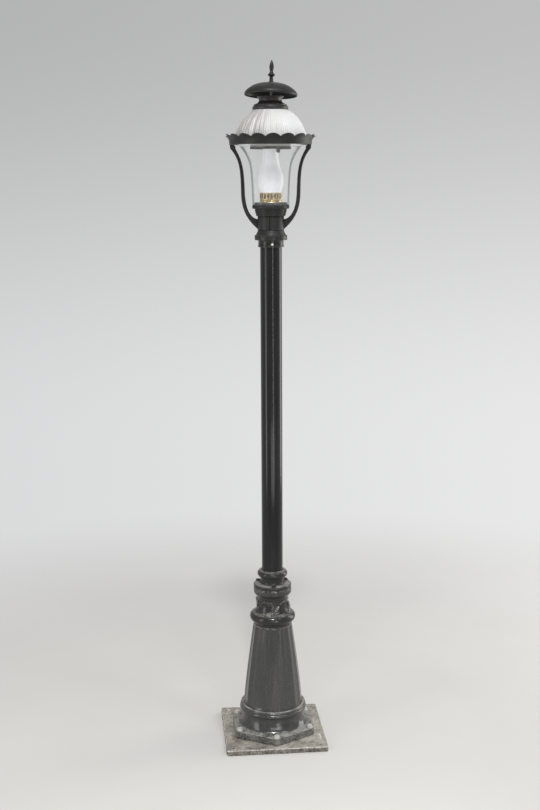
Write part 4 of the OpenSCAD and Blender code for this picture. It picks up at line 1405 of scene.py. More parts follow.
@dataclass
class Collar:
    """Collar with its flange, bead and bolts, and the post tube that rises through it."""

    flange_r: float = 69.1
    flange_t: float = 12.0
    cove_r: float = 42.4
    bead_r: float = 12.5
    bore_r: float = 38.4
    bolt_circle: float = 58.5
    shaft_r: float = 38.1
    tube_in_r: float = 34.6

    def build(self, shop: Workshop) -> None:
        """Makes the collar, its bolts and the post tube."""
        base, tall = low("post_collar"), high("post_collar") - low("post_collar")
        f, t = self.flange_r, self.flange_t
        bead_z = tall - self.bead_r - 2
        outer = eased([(f - 0.8, 0.2), (f, 1.0), (f, t - 3), (f - 3, t), (self.cove_r + 4.5, t + 0.9),
                       (self.cove_r + 0.6, t + 4.0), (self.cove_r, t + 8),
                       (self.cove_r, bead_z - self.bead_r + 0.5)],
                      1.2)
        outer += arc(self.cove_r, bead_z, self.bead_r, -76, 62, 20)
        outer += eased([(self.cove_r + 2.6, tall - 2.6), (self.cove_r + 2.2, tall - 0.6),
                        (self.bore_r + 1.5, tall),
                        (self.bore_r, tall - 0.6), (self.bore_r, 0.2)], 0.6)
        skin = Skin().turned(outer, 128, True)
        shop.put("collar_casting", skin, Body.POST, Slot.CAST, ["post_collar"],
                 Matrix.Translation((0, 0, base)))
        seat = base + t + 0.9
        bolt = hex_head(7.8, 0.0, 4.0, dome=0.8)
        bolt.join(Skin().turned(eased([(0.0, -1.2), (9.0, -1.2), (9.0, 0.3), (0.0, 0.3)], 0.4), 32))
        shop.put("collar_screws", bolt, Body.POST, Slot.DULL_BOLT, ["collar_bolts"],
                 ring=Ring(3, self.bolt_circle, -90.0, seat))
        foot, top = low("post_shaft"), high("post_shaft")
        rows = 40
        tube = [(self.shaft_r, foot + (top - 1 - foot) * i / rows) for i in range(rows + 1)]
        tube += [(self.shaft_r - 0.8, top), (self.tube_in_r, top), (self.tube_in_r, foot)]

        def shape(angle: float, r: float, z: float) -> tuple[float, float]:
            """Adds the slight waviness of a painted tube."""
            if r < self.shaft_r - 0.1:
                return r, z
            place = Vector((2.2 * math.cos(angle), 2.2 * math.sin(angle), z * 0.006))
            return r - 0.12 * abs(noise.noise(place)), z
        shop.put("post_tube", Skin().turned(tube, 128, True, shape), Body.POST, Slot.POST,
                 ["post_shaft"], crease=50)


# ------------------------------------------------------------------- lantern


def lantern_turn() -> Matrix:
    """The lantern's turn on the post, from the direction of its hinge."""
    joint = next(j for j in frame["joints"] if j["name"] == "top_hinge")
    x, y = joint["pos_m"][0], joint["pos_m"][1]
    return Matrix.Rotation(math.atan2(-y, -x), 4, "Z")


@dataclass
class Fitter:
    """Fitter on the post, the clamped barrel with its two arms, and the globe's seat."""

    turn: Matrix
    bore_r: float = 38.4
    skirt_r: float = 44.2
    ring_r: float = 56.6
    barrel_r: float = 46.0
    spigot_r: float = 36.0
    spigot_in_r: float = 28.0
    stem_r: float = 6.55
    seat_r: float = 64.2
    upstand_r: float = 57.0
    arm_w: float = 14.0
    eye_off: float = 130.0
    eye_r: float = 9.0
    pin_bore: float = 3.05
    slot_half: float = 1.0
    rib_w: float = 2.8
    rib_out: float = 2.0

    def socket(self, shop: Workshop) -> None:
        """Makes the fitter and its three set screws."""
        base = low("post_fitter")
        barrel = low("yoke_left") - SLIP - base
        socket = barrel - 17 + 1
        ring = 17.0
        outer = eased([(self.skirt_r + 0.6, 0.0), (self.skirt_r + 1.2, 0.6), (self.skirt_r + 1.2, 5.4),
                       (self.skirt_r, 6.2),
                       (self.skirt_r, socket - 2 - ring), (self.skirt_r + 4, socket - 1 - ring),
                       (self.ring_r - 1, socket - 1 - ring), (self.ring_r, socket - ring),
                       (self.ring_r, socket - 2), (self.ring_r - 1.6, socket - 1),
                       (self.ring_r - 4.6, socket - 0.6), (self.ring_r - 5.4, socket + 2.4),
                       (self.barrel_r + 2.0, socket + 7.5), (self.barrel_r + 1.4, socket + 9.5),
                       (self.barrel_r - 0.6, barrel - 1.5), (self.barrel_r - 1.4, barrel),
                       (self.spigot_r, barrel)], 1.1)
        top = high("post_fitter") - base
        inner = [(self.spigot_r, top), (self.stem_r, top), (self.stem_r, top - 6),
                 (self.spigot_in_r, top - 6),
                 (self.spigot_in_r, socket), (self.bore_r, socket), (self.bore_r, 0.0)]
        skin = Skin().turned(outer + inner, 128, True)
        shop.put("fitter_casting", skin, Body.POST, Slot.CAST, ["post_fitter"],
                 Matrix.Translation((0, 0, base)))
        seat = self.skirt_r + 0.5
        head = [(0.0, 0.0), (5.0, 0.0), (5.0, 1.6), (4.2, 2.7), (2.9, 3.0), (2.2, 2.9), (2.0, 1.3),
                (0.0, 1.2)]
        screw = Skin().turned(head, 32)
        screw.join(Skin().turned([(0.0, self.bore_r - seat), (3.0, self.bore_r - seat), (3.0, 0.5),
                                  (0.0, 0.5)], 24))
        aimed = Skin().join(screw, Matrix.Translation((seat, 0, 0)) @ along("X"))
        shop.put("skirt_screws", aimed, Body.POST, Slot.BRIGHT_SCREW, ["set_screws"],
                 ring=Ring(3, 0.0, -90.0, base + 11.0))

    def arm(self, tall: float, drop: float, bored: bool) -> Skin:
        """One arm, in the plane of X and Z, with heights from the barrel's foot.

        Args:
            tall: Height from the barrel's foot to the crown.
            drop: Height of the eye.
            bored: Whether the eye has a hole for the hinge pin.

        Returns:
            The arm's skin.
        """
        e = self.eye_off
        outer = curve((e + 7, drop - 5.5), (e - 24, 0.824 * tall), (e - 25.5, 0.703 * tall),
                      (e - 27, 0.472 * tall), 16)
        outer += curve((e - 27, 0.472 * tall), (e - 27, 0.307 * tall), (e - 33, 0.159 * tall),
                       (self.barrel_r - 3, 0.8), 22)[1:]
        inner = curve((e - 8.5, drop - 3), (e - 35, 0.8 * tall), (e - 37.5, 0.703 * tall),
                      (e - 40, 0.472 * tall), 16)
        inner += curve((e - 40, 0.472 * tall), (e - 41, 0.307 * tall), (e - 50, 0.166 * tall),
                       (self.barrel_r + 4, 38.0), 22)[1:]
        outer.append((self.barrel_r - 5, 1.0))
        inner.append((self.barrel_r - 5, 37.0))
        sections = []
        count = 20
        for (ox, oz), (ix, iz) in zip(outer, inner):
            middle = Vector(((ox + ix) / 2, 0, (oz + iz) / 2))
            across = Vector(((ox - ix) / 2, 0, (oz - iz) / 2))
            loop = []
            for k in range(count):
                a = FULL_TURN * k / count
                c, s = math.cos(a), math.sin(a)
                loop.append(middle + across * math.copysign(abs(c) ** 0.62, c)
                            + Vector((0, self.arm_w / 2 * math.copysign(abs(s) ** 0.55, s), 0)))
            sections.append(loop)
        skin = Skin().lofted(sections)
        half = self.arm_w / 2
        if bored:
            rim = eased([(self.pin_bore, -half), (self.eye_r, -half), (self.eye_r, half),
                         (self.pin_bore, half)],
                        1.0, True)
            eye = Skin().turned(rim, 48, True)
        else:
            eye = Skin().turned(eased([(0.0, -half), (self.eye_r, -half), (self.eye_r, half),
                                       (0.0, half)], 1.0), 48)
        return skin.join(eye, Matrix.Translation((e, 0, drop)) @ along("Y"))

    def barrel(self, tall: float) -> Skin:
        """Half of the clamped barrel on the +X side, with the raised lips at its slots."""
        spread = math.degrees(math.acos((self.slot_half + self.rib_w) / self.barrel_r))
        edge = math.degrees(math.acos(self.slot_half / self.barrel_r))
        stops = [(edge, self.rib_out - 0.5), (edge - 0.5, self.rib_out), (spread + 0.6, self.rib_out),
                 (spread, 0.5),
                 (spread - 0.5, 0.0)]
        angles = stops + [(spread - 0.5 - (2 * spread - 1) * k / 40, 0.0) for k in range(1, 40)]
        angles += [(-a, rise) for a, rise in reversed(stops)]
        sections = []
        for angle, rise in angles:
            a = math.radians(angle)
            r_out, r_in = self.barrel_r + rise, self.spigot_r + 0.15
            ring = eased([(r_in, 0.0), (r_out, 0.0), (r_out, tall), (r_in, tall)], 1.2, True)
            sections.append([(max(self.slot_half, r * math.cos(a)), r * math.sin(a), z) for r,
                             z in ring])
        return Skin().lofted(sections)

    def arms(self, shop: Workshop) -> None:
        """Makes the two halves of the yoke."""
        base = low("yoke_left")
        pin = high("yoke_left") - self.eye_r
        crown = pin + self.eye_r + SLIP
        seat = low("globe_seat")
        for name, node, half_turn, bored in (("arm_left", "yoke_left", math.pi, True),
                                             ("arm_right", "yoke_right", 0.0, False)):
            skin = self.arm(crown - base + SLIP, pin - base + SLIP, bored)
            skin.join(self.barrel(seat - base - 2 * SLIP), Matrix.Translation((0, 0, SLIP)))
            move = self.turn @ Matrix.Translation((0, 0,
                                                   base - SLIP)) @ Matrix.Rotation(half_turn, 4, "Z")
            shop.put(name, skin, Body.POST, Slot.CAST, [node], move, crease=40)

    def seat(self, shop: Workshop) -> None:
        """Makes the stepped seat under the globe."""
        base = low("globe_seat")
        b, f, u = self.barrel_r, self.seat_r, self.upstand_r
        step, tall = 8.2, 35.0
        outer = eased([(b + 4.6, 0.0), (b + 5.4, 0.8), (b + 5.4, step - 1.4), (b + 6.2, step),
                       (b + 7.0, step),
                       (b + 7.8, step + 0.8), (b + 7.8, 2 * step - 1.2), (b + 8.4, 2 * step),
                       (b + 9.0, 2 * step),
                       (b + 9.5, 2 * step + 0.6), (b + 9.5, 3 * step - 1.5), (b + 10.5, 3 * step),
                       (f - 1.2, 3 * step), (f, 3 * step + 1.6), (f, tall - 0.8), (f - 0.8, tall),
                       (u + 0.2, tall), (u, tall + 6.4), (u - 0.8, tall + 7), (u - 4.4, tall + 7),
                       (u - 5, tall + 6.2),
                       (u - 5, tall)], 0.9)
        inner = [(self.stem_r, tall), (self.stem_r, tall - 6), (32.0, tall - 6), (32.0, 10.0),
                 (self.spigot_r + 0.2, 10.0), (self.spigot_r + 0.2, 0.0)]
        skin = Skin().turned(outer + inner, 128, True)
        shop.put("globe_ring", skin, Body.POST, Slot.CAST, ["globe_seat"],
                 Matrix.Translation((0, 0, base)), crease=30)

    def build(self, shop: Workshop) -> None:
        """Makes every piece of the fitter."""
        self.socket(shop)
        self.arms(shop)
        self.seat(shop)


@dataclass
class Burner:
    """Globe, burner deck, pierced gallery, chimney and bulb."""

    turn: Matrix
    foot_r: float = 63.0
    mouth_r: float = 107.0
    wall: float = 3.0
    gallery_r: float = 38.0
    gallery_cells: int = 20
    belly_r: float = 43.8
    chimney_mouth: float = 25.0
    bulb_r: float = 23.0

    def globe(self, shop: Workshop) -> None:
        """Makes the clear globe with its foot ring and ground mouth."""
        base, tall = low("globe"), high("globe") - low("globe")
        f, m = self.foot_r, self.mouth_r
        outer = [(f, 0.8), (f + 0.9, 1.6), (f + 1.1, 3.4), (f + 0.6, 5.2)]
        outer += curve((f + 0.45, 7.0), (f + 1.0, 12), (f + 0.6, 9), (f + 0.7, 14), 4)[1:]
        outer += curve((f + 0.7, 14), (f + 2.5, 0.28 * tall), (f + 3.5, 0.45 * tall),
                       (f + 7.2, 0.62 * tall), 20)[1:]
        outer += curve((f + 7.2, 0.62 * tall), (f + 10.5, 0.76 * tall), (m - 18, 0.90 * tall),
                       (m, tall - 0.6), 22)[1:]
        inner = [(r - self.wall, z) for r, z in reversed(outer[4:])]
        shell = outer + [(m - 1.2, tall)] + inner + [(f - self.wall, 0.8), (f - 1, 0.0)]
        skin = Skin().turned(shell, 128, True)
        shop.put("clear_globe", skin, Body.POST, Slot.CLEAR_GLASS, ["globe"],
                 Matrix.Translation((0, 0, base)), crease=60)

    def cell(self, tall: float) -> Skin:
        """One pierced cell of the gallery, with its scalloped top edge."""
        width = FULL_TURN / self.gallery_cells
        thick = 1.3
        half, count = width / 2, 32
        band = 0.24 * tall

        def frame_point(k: int) -> tuple[float, float]:
            """A point on the cell's border, from the middle of its right side."""
            t = (k / count) % 1.0
            corners = [(1, 0.55), (1, 1), (-1, 1), (-1, 0), (1, 0), (1, 0.55)]
            lengths = [0.45, 1.0, 1.0, 1.0, 0.55]
            run = t * sum(lengths)
            for (x0, y0), (x1, y1), length in zip(corners, corners[1:], lengths):
                if run <= length:
                    s = run / length
                    return x0 + (x1 - x0) * s, y0 + (y1 - y0) * s
                run -= length
            return 1.0, 0.55

        loops: dict[str, list[tuple[float, float]]] = {"border": [], "hole": []}
        centre, hole_h = band + 0.40 * tall, 0.27 * tall
        for k in range(count):
            x, y = frame_point(k)
            crest = 1.8 * (0.5 + 0.5 * math.cos(math.pi * x))
            top = tall - 1.8 + crest
            z = band + (top - band) * y
            loops["border"].append((x * half, z))
            a = math.atan2(z - centre, x * half * self.gallery_r)
            reach = 0.68 * half * math.copysign(abs(math.cos(a)) ** 1.2, math.cos(a))
            loops["hole"].append((reach, centre + hole_h * math.copysign(abs(math.sin(a)) ** 0.9, math.sin(a))))
        skin = Skin()
        rings = {}
        for r, side in ((self.gallery_r, "out"), (self.gallery_r - thick, "in")):
            for kind, points in loops.items():
                bulge = 0.5 if kind == "border" and side == "out" else 0.0
                rings[kind, side] = skin.loop([((r - bulge) * math.cos(a), (r - bulge) * math.sin(a), z)
                                               for a, z in points])
        skin.strip(rings["border", "out"], rings["hole", "out"])
        skin.strip(rings["hole", "out"], rings["hole", "in"])
        skin.strip(rings["hole", "in"], rings["border", "in"])
        skin.strip(rings["border", "in"], rings["border", "out"])
        return skin

    def gallery(self, shop: Workshop) -> None:
        """Makes the pierced brass gallery, with the solid band and beads at its foot."""
        base, tall = low("gallery"), high("gallery") - low("gallery")
        up = self.turn @ Matrix.Translation((0, 0, base))
        shop.put("gallery_cells", self.cell(tall), Body.POST, Slot.GALLERY_BRASS, ["gallery"], up,
                 Ring(self.gallery_cells, 0.0, 9.0), crease=45)
        g, band = self.gallery_r, 0.24 * tall
        rim = eased([(g - 8, 0.0), (g + 0.2, 0.0), (g + 0.9, 0.9), (g + 0.2, 2.0), (g - 0.3, 2.8),
                     (g - 0.3, band - 2.2),
                     (g + 0.5, band - 1.4), (g + 0.5, band - 0.3), (g - 0.4, band + 0.5),
                     (g - 1.7, band + 0.5),
                     (g - 1.7, 2.0), (g - 8, 2.0)], 0.4, True)
        shop.put("gallery_band", Skin().turned(rim, 96, True), Body.POST, Slot.GALLERY_BRASS, (), up)

    def glass(self, shop: Workshop) -> None:
        """Makes the frosted chimney and the bulb in it."""
        base, tall = low("chimney"), high("chimney") - low("chimney")
        foot, belly, mouth = self.gallery_r - 1.9, self.belly_r, self.chimney_mouth
        outer = [(foot, 0.6)] + curve((foot, 33), (foot + 1.3, 0.204 * tall), (belly, 0.267 * tall),
                                      (belly, 0.345 * tall), 14)
        outer += curve((belly, 0.345 * tall), (belly, 0.50 * tall), (mouth + 7.2, 0.54 * tall),
                       (mouth + 4.5, 0.64 * tall), 18)[1:]
        outer += curve((mouth + 4.5, 0.64 * tall), (mouth + 2.6, 0.72 * tall),
                       (mouth - 0.5, 0.84 * tall),
                       (mouth + 0.5, tall - 0.5), 16)[1:]
        shell = outer + [(mouth - 0.4, tall)] + [(r - 2, z) for r, z in reversed(outer)] + [(foot - 1, 0.0)]
        shop.put("frosted_chimney", Skin().turned(shell, 96, True), Body.POST, Slot.FROSTED_GLASS,
                 ["chimney"],
                 Matrix.Translation((0, 0, base)), crease=60)
        base, tall = low("bulb"), high("bulb") - low("bulb")
        b = self.bulb_r
        outer = [(0.0, 0.0), (12.0, 0.0)] + curve((12.5, 0.6), (b - 3, 12), (b, 18), (b, 34), 12)
        outer += curve((b, 34), (b - 0.5, 56), (b - 9, 72), (0.0, tall), 18)[1:]
        shop.put("opal_bulb", Skin().turned(outer, 64), Body.POST, Slot.BULB_GLASS, ["bulb"],
                 Matrix.Translation((0, 0, base)), crease=60)

    def deck(self, shop: Workshop) -> None:
        """Makes the burner deck with a rolled rim and a raised ring."""
        base, top = low("burner_deck"), high("burner_deck")
        r = 57.0
        rim = eased([(6.6, base), (r - 0.6, base), (r, base + 0.8), (r, top - 0.2),
                     (r - 1.6, top + 0.7), (r - 3.2, top),
                     (46.5, top), (45.5, top + 0.9), (44.5, top), (6.6, top)], 0.5, True)
        shop.put("deck_plate", Skin().turned(rim, 96, True), Body.POST, Slot.DECK, ["burner_deck"])

    def build(self, shop: Workshop) -> None:
        """Makes every piece of the burner."""
        self.deck(shop)
        self.gallery(shop)
        self.glass(shop)
        self.globe(shop)


@dataclass
class Crown:
    """Scalloped crown with its ears, the hinge pin and the thumb screw."""

    turn: Matrix
    foot_r: float = 141.5
    lip_r: float = 154.0
    tall: float = 35.0
    wall: float = 3.5
    scallops: int = 18
    scallop_turn: float = -2.0
    notch: float = 10.5
    shelf: float = 8.0
    shelf_in_r: float = 114.0
    eye_off: float = 130.0
    eye_r: float = 9.0
    ear_in: float = 7.3
    ear_out: float = 12.3
    knurls: int = 24
    bends: tuple = ((-22.0, -9.5, 1.5), (-2.0, 1.5, 6.5), (178.0, 1.5, 6.0))

    def sector(self) -> Skin:
        """One scallop and the shelf inside it, open at its two sides."""
        rise = curve((self.foot_r + 0.3, 0.28 * self.tall), (self.foot_r + 1, 0.5 * self.tall),
                     (self.lip_r - 7, 0.72 * self.tall), (self.lip_r, self.tall), 16)
        wall = [(self.foot_r, 0.0)] + rise
        half = math.pi / self.scallops
        pitch = 2 * self.lip_r * math.sin(half)
        lobe = (self.notch ** 2 + pitch ** 2 / 4) / (2 * self.notch)
        skin = Skin()
        loops = []
        steps = 18
        for k in range(steps + 1):
            u = 2 * k / steps - 1
            drop = lobe - math.sqrt(max(0.0, lobe * lobe - (u * pitch / 2) ** 2))
            top = self.tall - drop
            cup = 1.5 * (math.cos(math.pi * u) * 0.5 + 0.5) - 0.6
            outer = []
            for s in (0.0, 0.03, 0.15, 0.3, 0.42, 0.54, 0.65, 0.76, 0.86, 0.94, 1.0):
                z = s * top
                outer.append((between(wall, z) + cup * s ** 2.2 - (0.8 if s == 0 else 0.0), z))
            r_top = outer[-1][0]
            rim = [(r_top - 0.7, top + 0.55), (r_top - self.wall + 0.8, top + 0.55)]
            inner = [(r - self.wall, z) for r, z in reversed(outer) if z > self.shelf + 1]
            inside = self.foot_r - self.wall
            seat = [(inside, self.shelf + 0.8), (inside - 0.8, self.shelf),
                    (self.shelf_in_r, self.shelf),
                    (self.shelf_in_r, self.shelf - 4), (self.foot_r - 7.5, self.shelf - 4),
                    (self.foot_r - 7.5, 0.0)]
            while len(inner) < 9:
                inner.append(inner[-1])
            a = u * half
            section = outer + rim + inner[:9] + seat
            loops.append(skin.loop([(r * math.cos(a), r * math.sin(a), z) for r, z in section]))
        for one, two in zip(loops, loops[1:]):
            skin.strip(one, two)
        return skin

    def bend(self, mesh: bpy.types.Mesh) -> None:
        """Bends the damaged scallops; each bend has its angle, its push outwards and its drop."""
        half = 180 / self.scallops
        for point in mesh.vertices:
            x, y, z = point.co / MM
            angle = math.degrees(math.atan2(y, x))
            for middle, push, drop in self.bends:
                u = ((angle - middle + 180) % 360 - 180) / half
                if abs(u) < 1 and z > 12:
                    share = ((z - 12) / (self.tall - 12)) ** 1.6 * math.cos(u * math.pi / 2) ** 0.8
                    out = Vector((x, y, 0)).normalized()
                    point.co += (out * push - Vector((0, 0, drop))) * share * MM

    def ears(self) -> Skin:
        """The four ears beside the eyes, with heights from the crown's foot."""
        drop, r = -self.eye_r - SLIP, self.eye_r - 0.5
        arcs = [(self.eye_off + r * math.cos(math.radians(a)), drop + r * math.sin(math.radians(a)))
                for a in range(115, 366, 10)]
        outline = arcs + [(self.foot_r - 2.2, 0.8), (self.foot_r - 7, 0.8), (self.foot_r - 9, -0.4)]
        skin = Skin()
        for y0 in (-self.ear_out, self.ear_in):
            y1 = y0 + self.ear_out - self.ear_in
            levels = ((y0, 0.6), (y0 + 0.6, 0.0), (y1 - 0.6, 0.0), (y1, 0.6))
            centre = Vector((self.eye_off, drop))
            sections = []
            for y, inset in levels:
                sections.append([((p := centre + (Vector(q) - centre) * (1 - inset / r)).x, y,
                                  p.y) for q in outline])
            skin.lofted(sections)
        both = Skin().join(skin)
        return both.join(skin, Matrix.Rotation(math.pi, 4, "Z"))

    def fasteners(self, shop: Workshop) -> None:
        """Makes the hinge pin and the knurled thumb screw."""
        pin_z = high("yoke_left") - self.eye_r
        reach = self.ear_out + 2
        pin = eased([(0.0, -reach), (5.0, -reach), (5.0, -self.ear_out), (3.0, -self.ear_out),
                     (3.0, self.ear_out), (5.0, self.ear_out), (5.0, reach), (0.0, reach)], 0.7)
        place = self.turn @ Matrix.Translation((-self.eye_off, 0, pin_z)) @ along("Y")
        shop.put("hinge_pin_rod", Skin().turned(pin, 32), Body.TOP, Slot.DULL_BOLT, ["hinge_pin"],
                 place)
        start, knob = self.ear_in, self.ear_out + 1.5
        end = self.ear_out + 10
        profile = [(0.0, start), (2.6, start), (3.0, start + 0.5), (3.0, knob), (4.8, knob)]
        profile += eased([(4.8, knob), (7.9, knob), (7.9, knob + 5.6), (5.4, knob + 6.4), (4.6, end),
                          (0.0, end)], 0.6)[1:]

        def knurl(angle: float, r: float, z: float) -> tuple[float, float]:
            """Cuts grooves along the knob's rim."""
            return (r - 0.35 * (0.5 + 0.5 * math.cos(self.knurls * angle)), z) if r > 7.4 else (r, z)
        place = self.turn @ Matrix.Translation((self.eye_off, 0, pin_z)) @ along("Y")
        shop.put("thumb_screw", Skin().turned(profile, 96, False, knurl), Body.LATCH, Slot.DULL_BOLT,
                 ["latch_screw"], place)

    def build(self, shop: Workshop) -> None:
        """Makes the crown and its fasteners."""
        base = high("yoke_left") + SLIP
        up = self.turn @ Matrix.Translation((0, 0, base))
        shop.put("crown_scallops", self.sector(), Body.TOP, Slot.CAST, ["crown"], up,
                 Ring(self.scallops, start=self.scallop_turn, weld=0.02), after=self.bend, crease=40)
        shop.put("crown_ears", self.ears(), Body.TOP, Slot.CAST, (), up)
        self.fasteners(shop)


@dataclass
class Dome:
    """Ribbed glass dome, with the enamelled reflector and the vent collar under it."""

    turn: Matrix
    r: float = 124.0
    wall: float = 3.0
    rib: float = 1.9
    vent_r: float = 70.0
    reflector_r: float = 132.0
    clip_angle: float = -64.0

    def ribs(self, tall: float) -> Skin:
        """One prism of the dome and the wall behind it, open at its two sides."""
        width = FULL_TURN / DOME_RIBS
        rows = 20
        end = math.asin(tall / self.r)
        skin = Skin()
        loops = []
        for share in (-0.5, -0.30, 0.0, 0.30, 0.5):
            a = width * share
            sink = self.rib * (2 * abs(share)) ** 1.15
            section = []
            for i in range(rows + 1):
                e = end * i / rows
                fade = min(1.0, (rows - i) / 2 + 0.35) * min(1.0, i / 1.5 + 0.4)
                r = (self.r - sink * fade) * math.cos(e)
                section.append((r, self.r * math.sin(e) if i < rows else tall))
            inner_r = self.r - self.wall
            stop = math.asin(tall / inner_r)
            for i in range(6, -1, -1):
                e = stop * i / 6
                section.append((inner_r * math.cos(e), inner_r * math.sin(e)))
            loops.append(skin.loop([(r * math.cos(a), r * math.sin(a), z) for r, z in section]))
        for one, two in zip(loops, loops[1:]):
            skin.strip(one, two)
        return skin

    def build(self, shop: Workshop) -> None:
        """Makes the dome, the reflector, the vent collar and its clip."""
        base, tall = low("dome"), high("dome") - low("dome")
        shop.put("ribbed_dome", self.ribs(tall), Body.TOP, Slot.DOME_GLASS, ["dome"],
                 Matrix.Translation((0, 0, base)),
                 Ring(DOME_RIBS, weld=0.01), crease=22)
        vent = low("reflector")
        v, out, inner = self.vent_r, self.reflector_r, self.r - self.wall - 5
        plate = eased([(v - 4, 0.0), (v + 4, 0.0), (inner, 8.3), (out - 1, 8.3), (out, 9.0),
                       (out - 1, 10.0),
                       (inner, 10.0), (v + 4, 1.5), (v - 4, 1.5)], 0.8, True)
        shop.put("enamel_reflector", Skin().turned(plate, 128, True), Body.TOP, Slot.ENAMEL,
                 ["reflector"],
                 Matrix.Translation((0, 0, vent)))
        foot, top = low("vent_collar"), high("vent_collar")
        ring = eased([(v - 2, foot + 0.8), (v - 1.4, foot), (v + 0.7, foot), (v + 1.1, foot + 1.0),
                      (v + 0.6, foot + 2.1),
                      (v, foot + 2.6), (v, top), (v - 1.6, top), (v - 1.6, foot + 2.4)], 0.3, True)
        shop.put("vent_ring", Skin().turned(ring, 96, True), Body.TOP, Slot.VENT, ["vent_collar"])
        sections = []
        start, end = low("collar_clip"), high("collar_clip")
        for i in range(13):
            t = i / 12
            z = end + (start - end) * t
            out = v + 1.2 + 1.6 * max(0.0, t - 0.75) ** 1.2 * 4
            half = 7.0 - 2.4 * max(0.0, t - 0.8) * 5
            sections.append([(out - 0.6, -half, z), (out + 0.6, -half + 0.3, z), (out + 0.9, 0.0, z),
                             (out + 0.6, half - 0.3, z), (out - 0.6, half, z), (out - 0.3, 0.0, z)])
        place = self.turn @ Matrix.Rotation(math.radians(self.clip_angle), 4, "Z")
        shop.put("vent_clip", Skin().lofted(sections), Body.TOP, Slot.VENT, ["collar_clip"], place)


@dataclass
class Hat:
    """Neck, leaning hat and finial."""

    turn: Matrix
    lean_back: float = 5.0
    lean_right: float = 1.5
    flange_r: float = 61.4
    waist_r: float = 38.8
    wall: float = 4.0
    hat_r: float = 90.7
    hat_tall: float = 43.0
    hat_t: float = 2.5
    rod_r: float = 4.0
    knop_r: float = 12.4

    def lean(self) -> Matrix:
        """The frame of the tie rod, from the top of the spreader bar."""
        return (self.turn @ Matrix.Translation((0, 0, high("spreader_bar")))
                @ Matrix.Rotation(math.radians(self.lean_right), 4, "Y")
                @ Matrix.Rotation(math.radians(-self.lean_back), 4, "X"))

    def neck(self, shop: Workshop) -> None:
        """Makes the neck with its bridge and boss inside."""
        base, tall = low("neck"), high("neck") - low("neck")
        f, w = self.flange_r, self.waist_r
        outer = eased([(f - 0.8, 0.0), (f, 1.0), (f, 8.6), (f - 1.4, 9.8), (f - 4.0, 10.4),
                       (f - 4.8, 12.5),
                       (f - 4.8, 16)], 1.0)
        outer += curve((f - 4.8, 16), (w + 6, 20), (w - 2, tall - 20), (w + 1, tall - 9.5), 18)[1:]
        outer += eased([(w + 1, tall - 9.5), (w + 6.9, tall - 1.6), (w + 7.7, tall - 0.5),
                        (w + 6.8, tall)], 1.0)[1:]
        inner = [(r - self.wall, z) for r, z in reversed(outer) if z < tall - 0.2]
        skin = Skin().turned(outer + inner, 96, True)
        bridge = [[(x, y, z) for y, z in ((-7, tall - 18), (7, tall - 18), (7, tall - 13), (-7, tall - 13))]
                  for x in (-w + 3, w - 3)]
        skin.lofted(bridge)
        boss = Skin().turned(eased([(4.3, 0.0), (12.0, 0.0), (12.0, 12.0), (4.3, 12.0)], 1.0, True),
                             32, True)
        inside = Matrix.Translation((0, 0, -base)) @ self.turn.inverted() @ self.lean()
        seat = base + tall - 20 - high("spreader_bar")
        skin.join(boss, inside @ Matrix.Translation((0, 0, seat)))
        shop.put("neck_casting", skin, Body.TOP, Slot.NECK, ["neck"],
                 self.turn @ Matrix.Translation((0, 0, base)))

    def build(self, shop: Workshop) -> None:
        """Makes the neck, the hat and the finial."""
        self.neck(shop)
        r, h, t = self.hat_r, self.hat_tall, self.hat_t
        foot = high("neck") - high("spreader_bar") + 2.5
        outer = [(r - 1.9, 0.0), (r - 0.5, 0.6), (r, 2.0), (r, 4.0)]
        outer += curve((r, 4.0), (r - 0.8, 14), (0.86 * r, 0.5 * h), (0.76 * r, 0.65 * h), 16)[1:]
        outer += curve((0.76 * r, 0.65 * h), (0.66 * r, 0.80 * h), (0.46 * r, 0.95 * h),
                       (0.2 * r, 0.99 * h), 16)[1:]
        outer += [(10.5, h - 0.1), (9.0, h)]
        inner = [(x - t * 0.9 * (x > 0.3 * r), z - t * z / h) for x, z in reversed(outer[3:])]
        skin = Skin().turned(outer + [(self.rod_r + 0.3, h),
                                      (self.rod_r + 0.3, h - t)] + inner + [(r - 3.4, 1.2)],
                             128, True)
        shop.put("hat_shell", skin, Body.TOP, Slot.CAST, ["hat"],
                 self.lean() @ Matrix.Translation((0, 0, foot)), crease=45)
        tip_h, k = 76.4, self.knop_r
        profile = eased([(0.0, 0.0), (9.0, 0.0), (9.0, 2.2), (6.6, 6.0), (6.1, 0.24 * tip_h),
                         (6.8, 0.27 * tip_h)], 1.0)
        profile += arc(k - 2.9, 0.345 * tip_h, 2.9, -75, 75, 10)
        profile += eased([(8.2, 0.405 * tip_h), (7.0, 0.44 * tip_h), (5.4, 0.49 * tip_h),
                          (5.5, 0.52 * tip_h),
                          (6.4, 0.57 * tip_h)], 1.5)
        profile += curve((6.4, 0.57 * tip_h), (9.4, 0.68 * tip_h), (7.2, 0.84 * tip_h),
                         (1.4, 0.975 * tip_h), 18)[1:]
        profile += [(0.6, tip_h - 0.3), (0.0, tip_h)]
        shop.put("finial_tip", Skin().turned(profile, 48), Body.TOP, Slot.CAST, ["finial"],
                 self.lean() @ Matrix.Translation((0, 0, foot + h)), crease=40)


# -------------------------------------------------------------------- studio


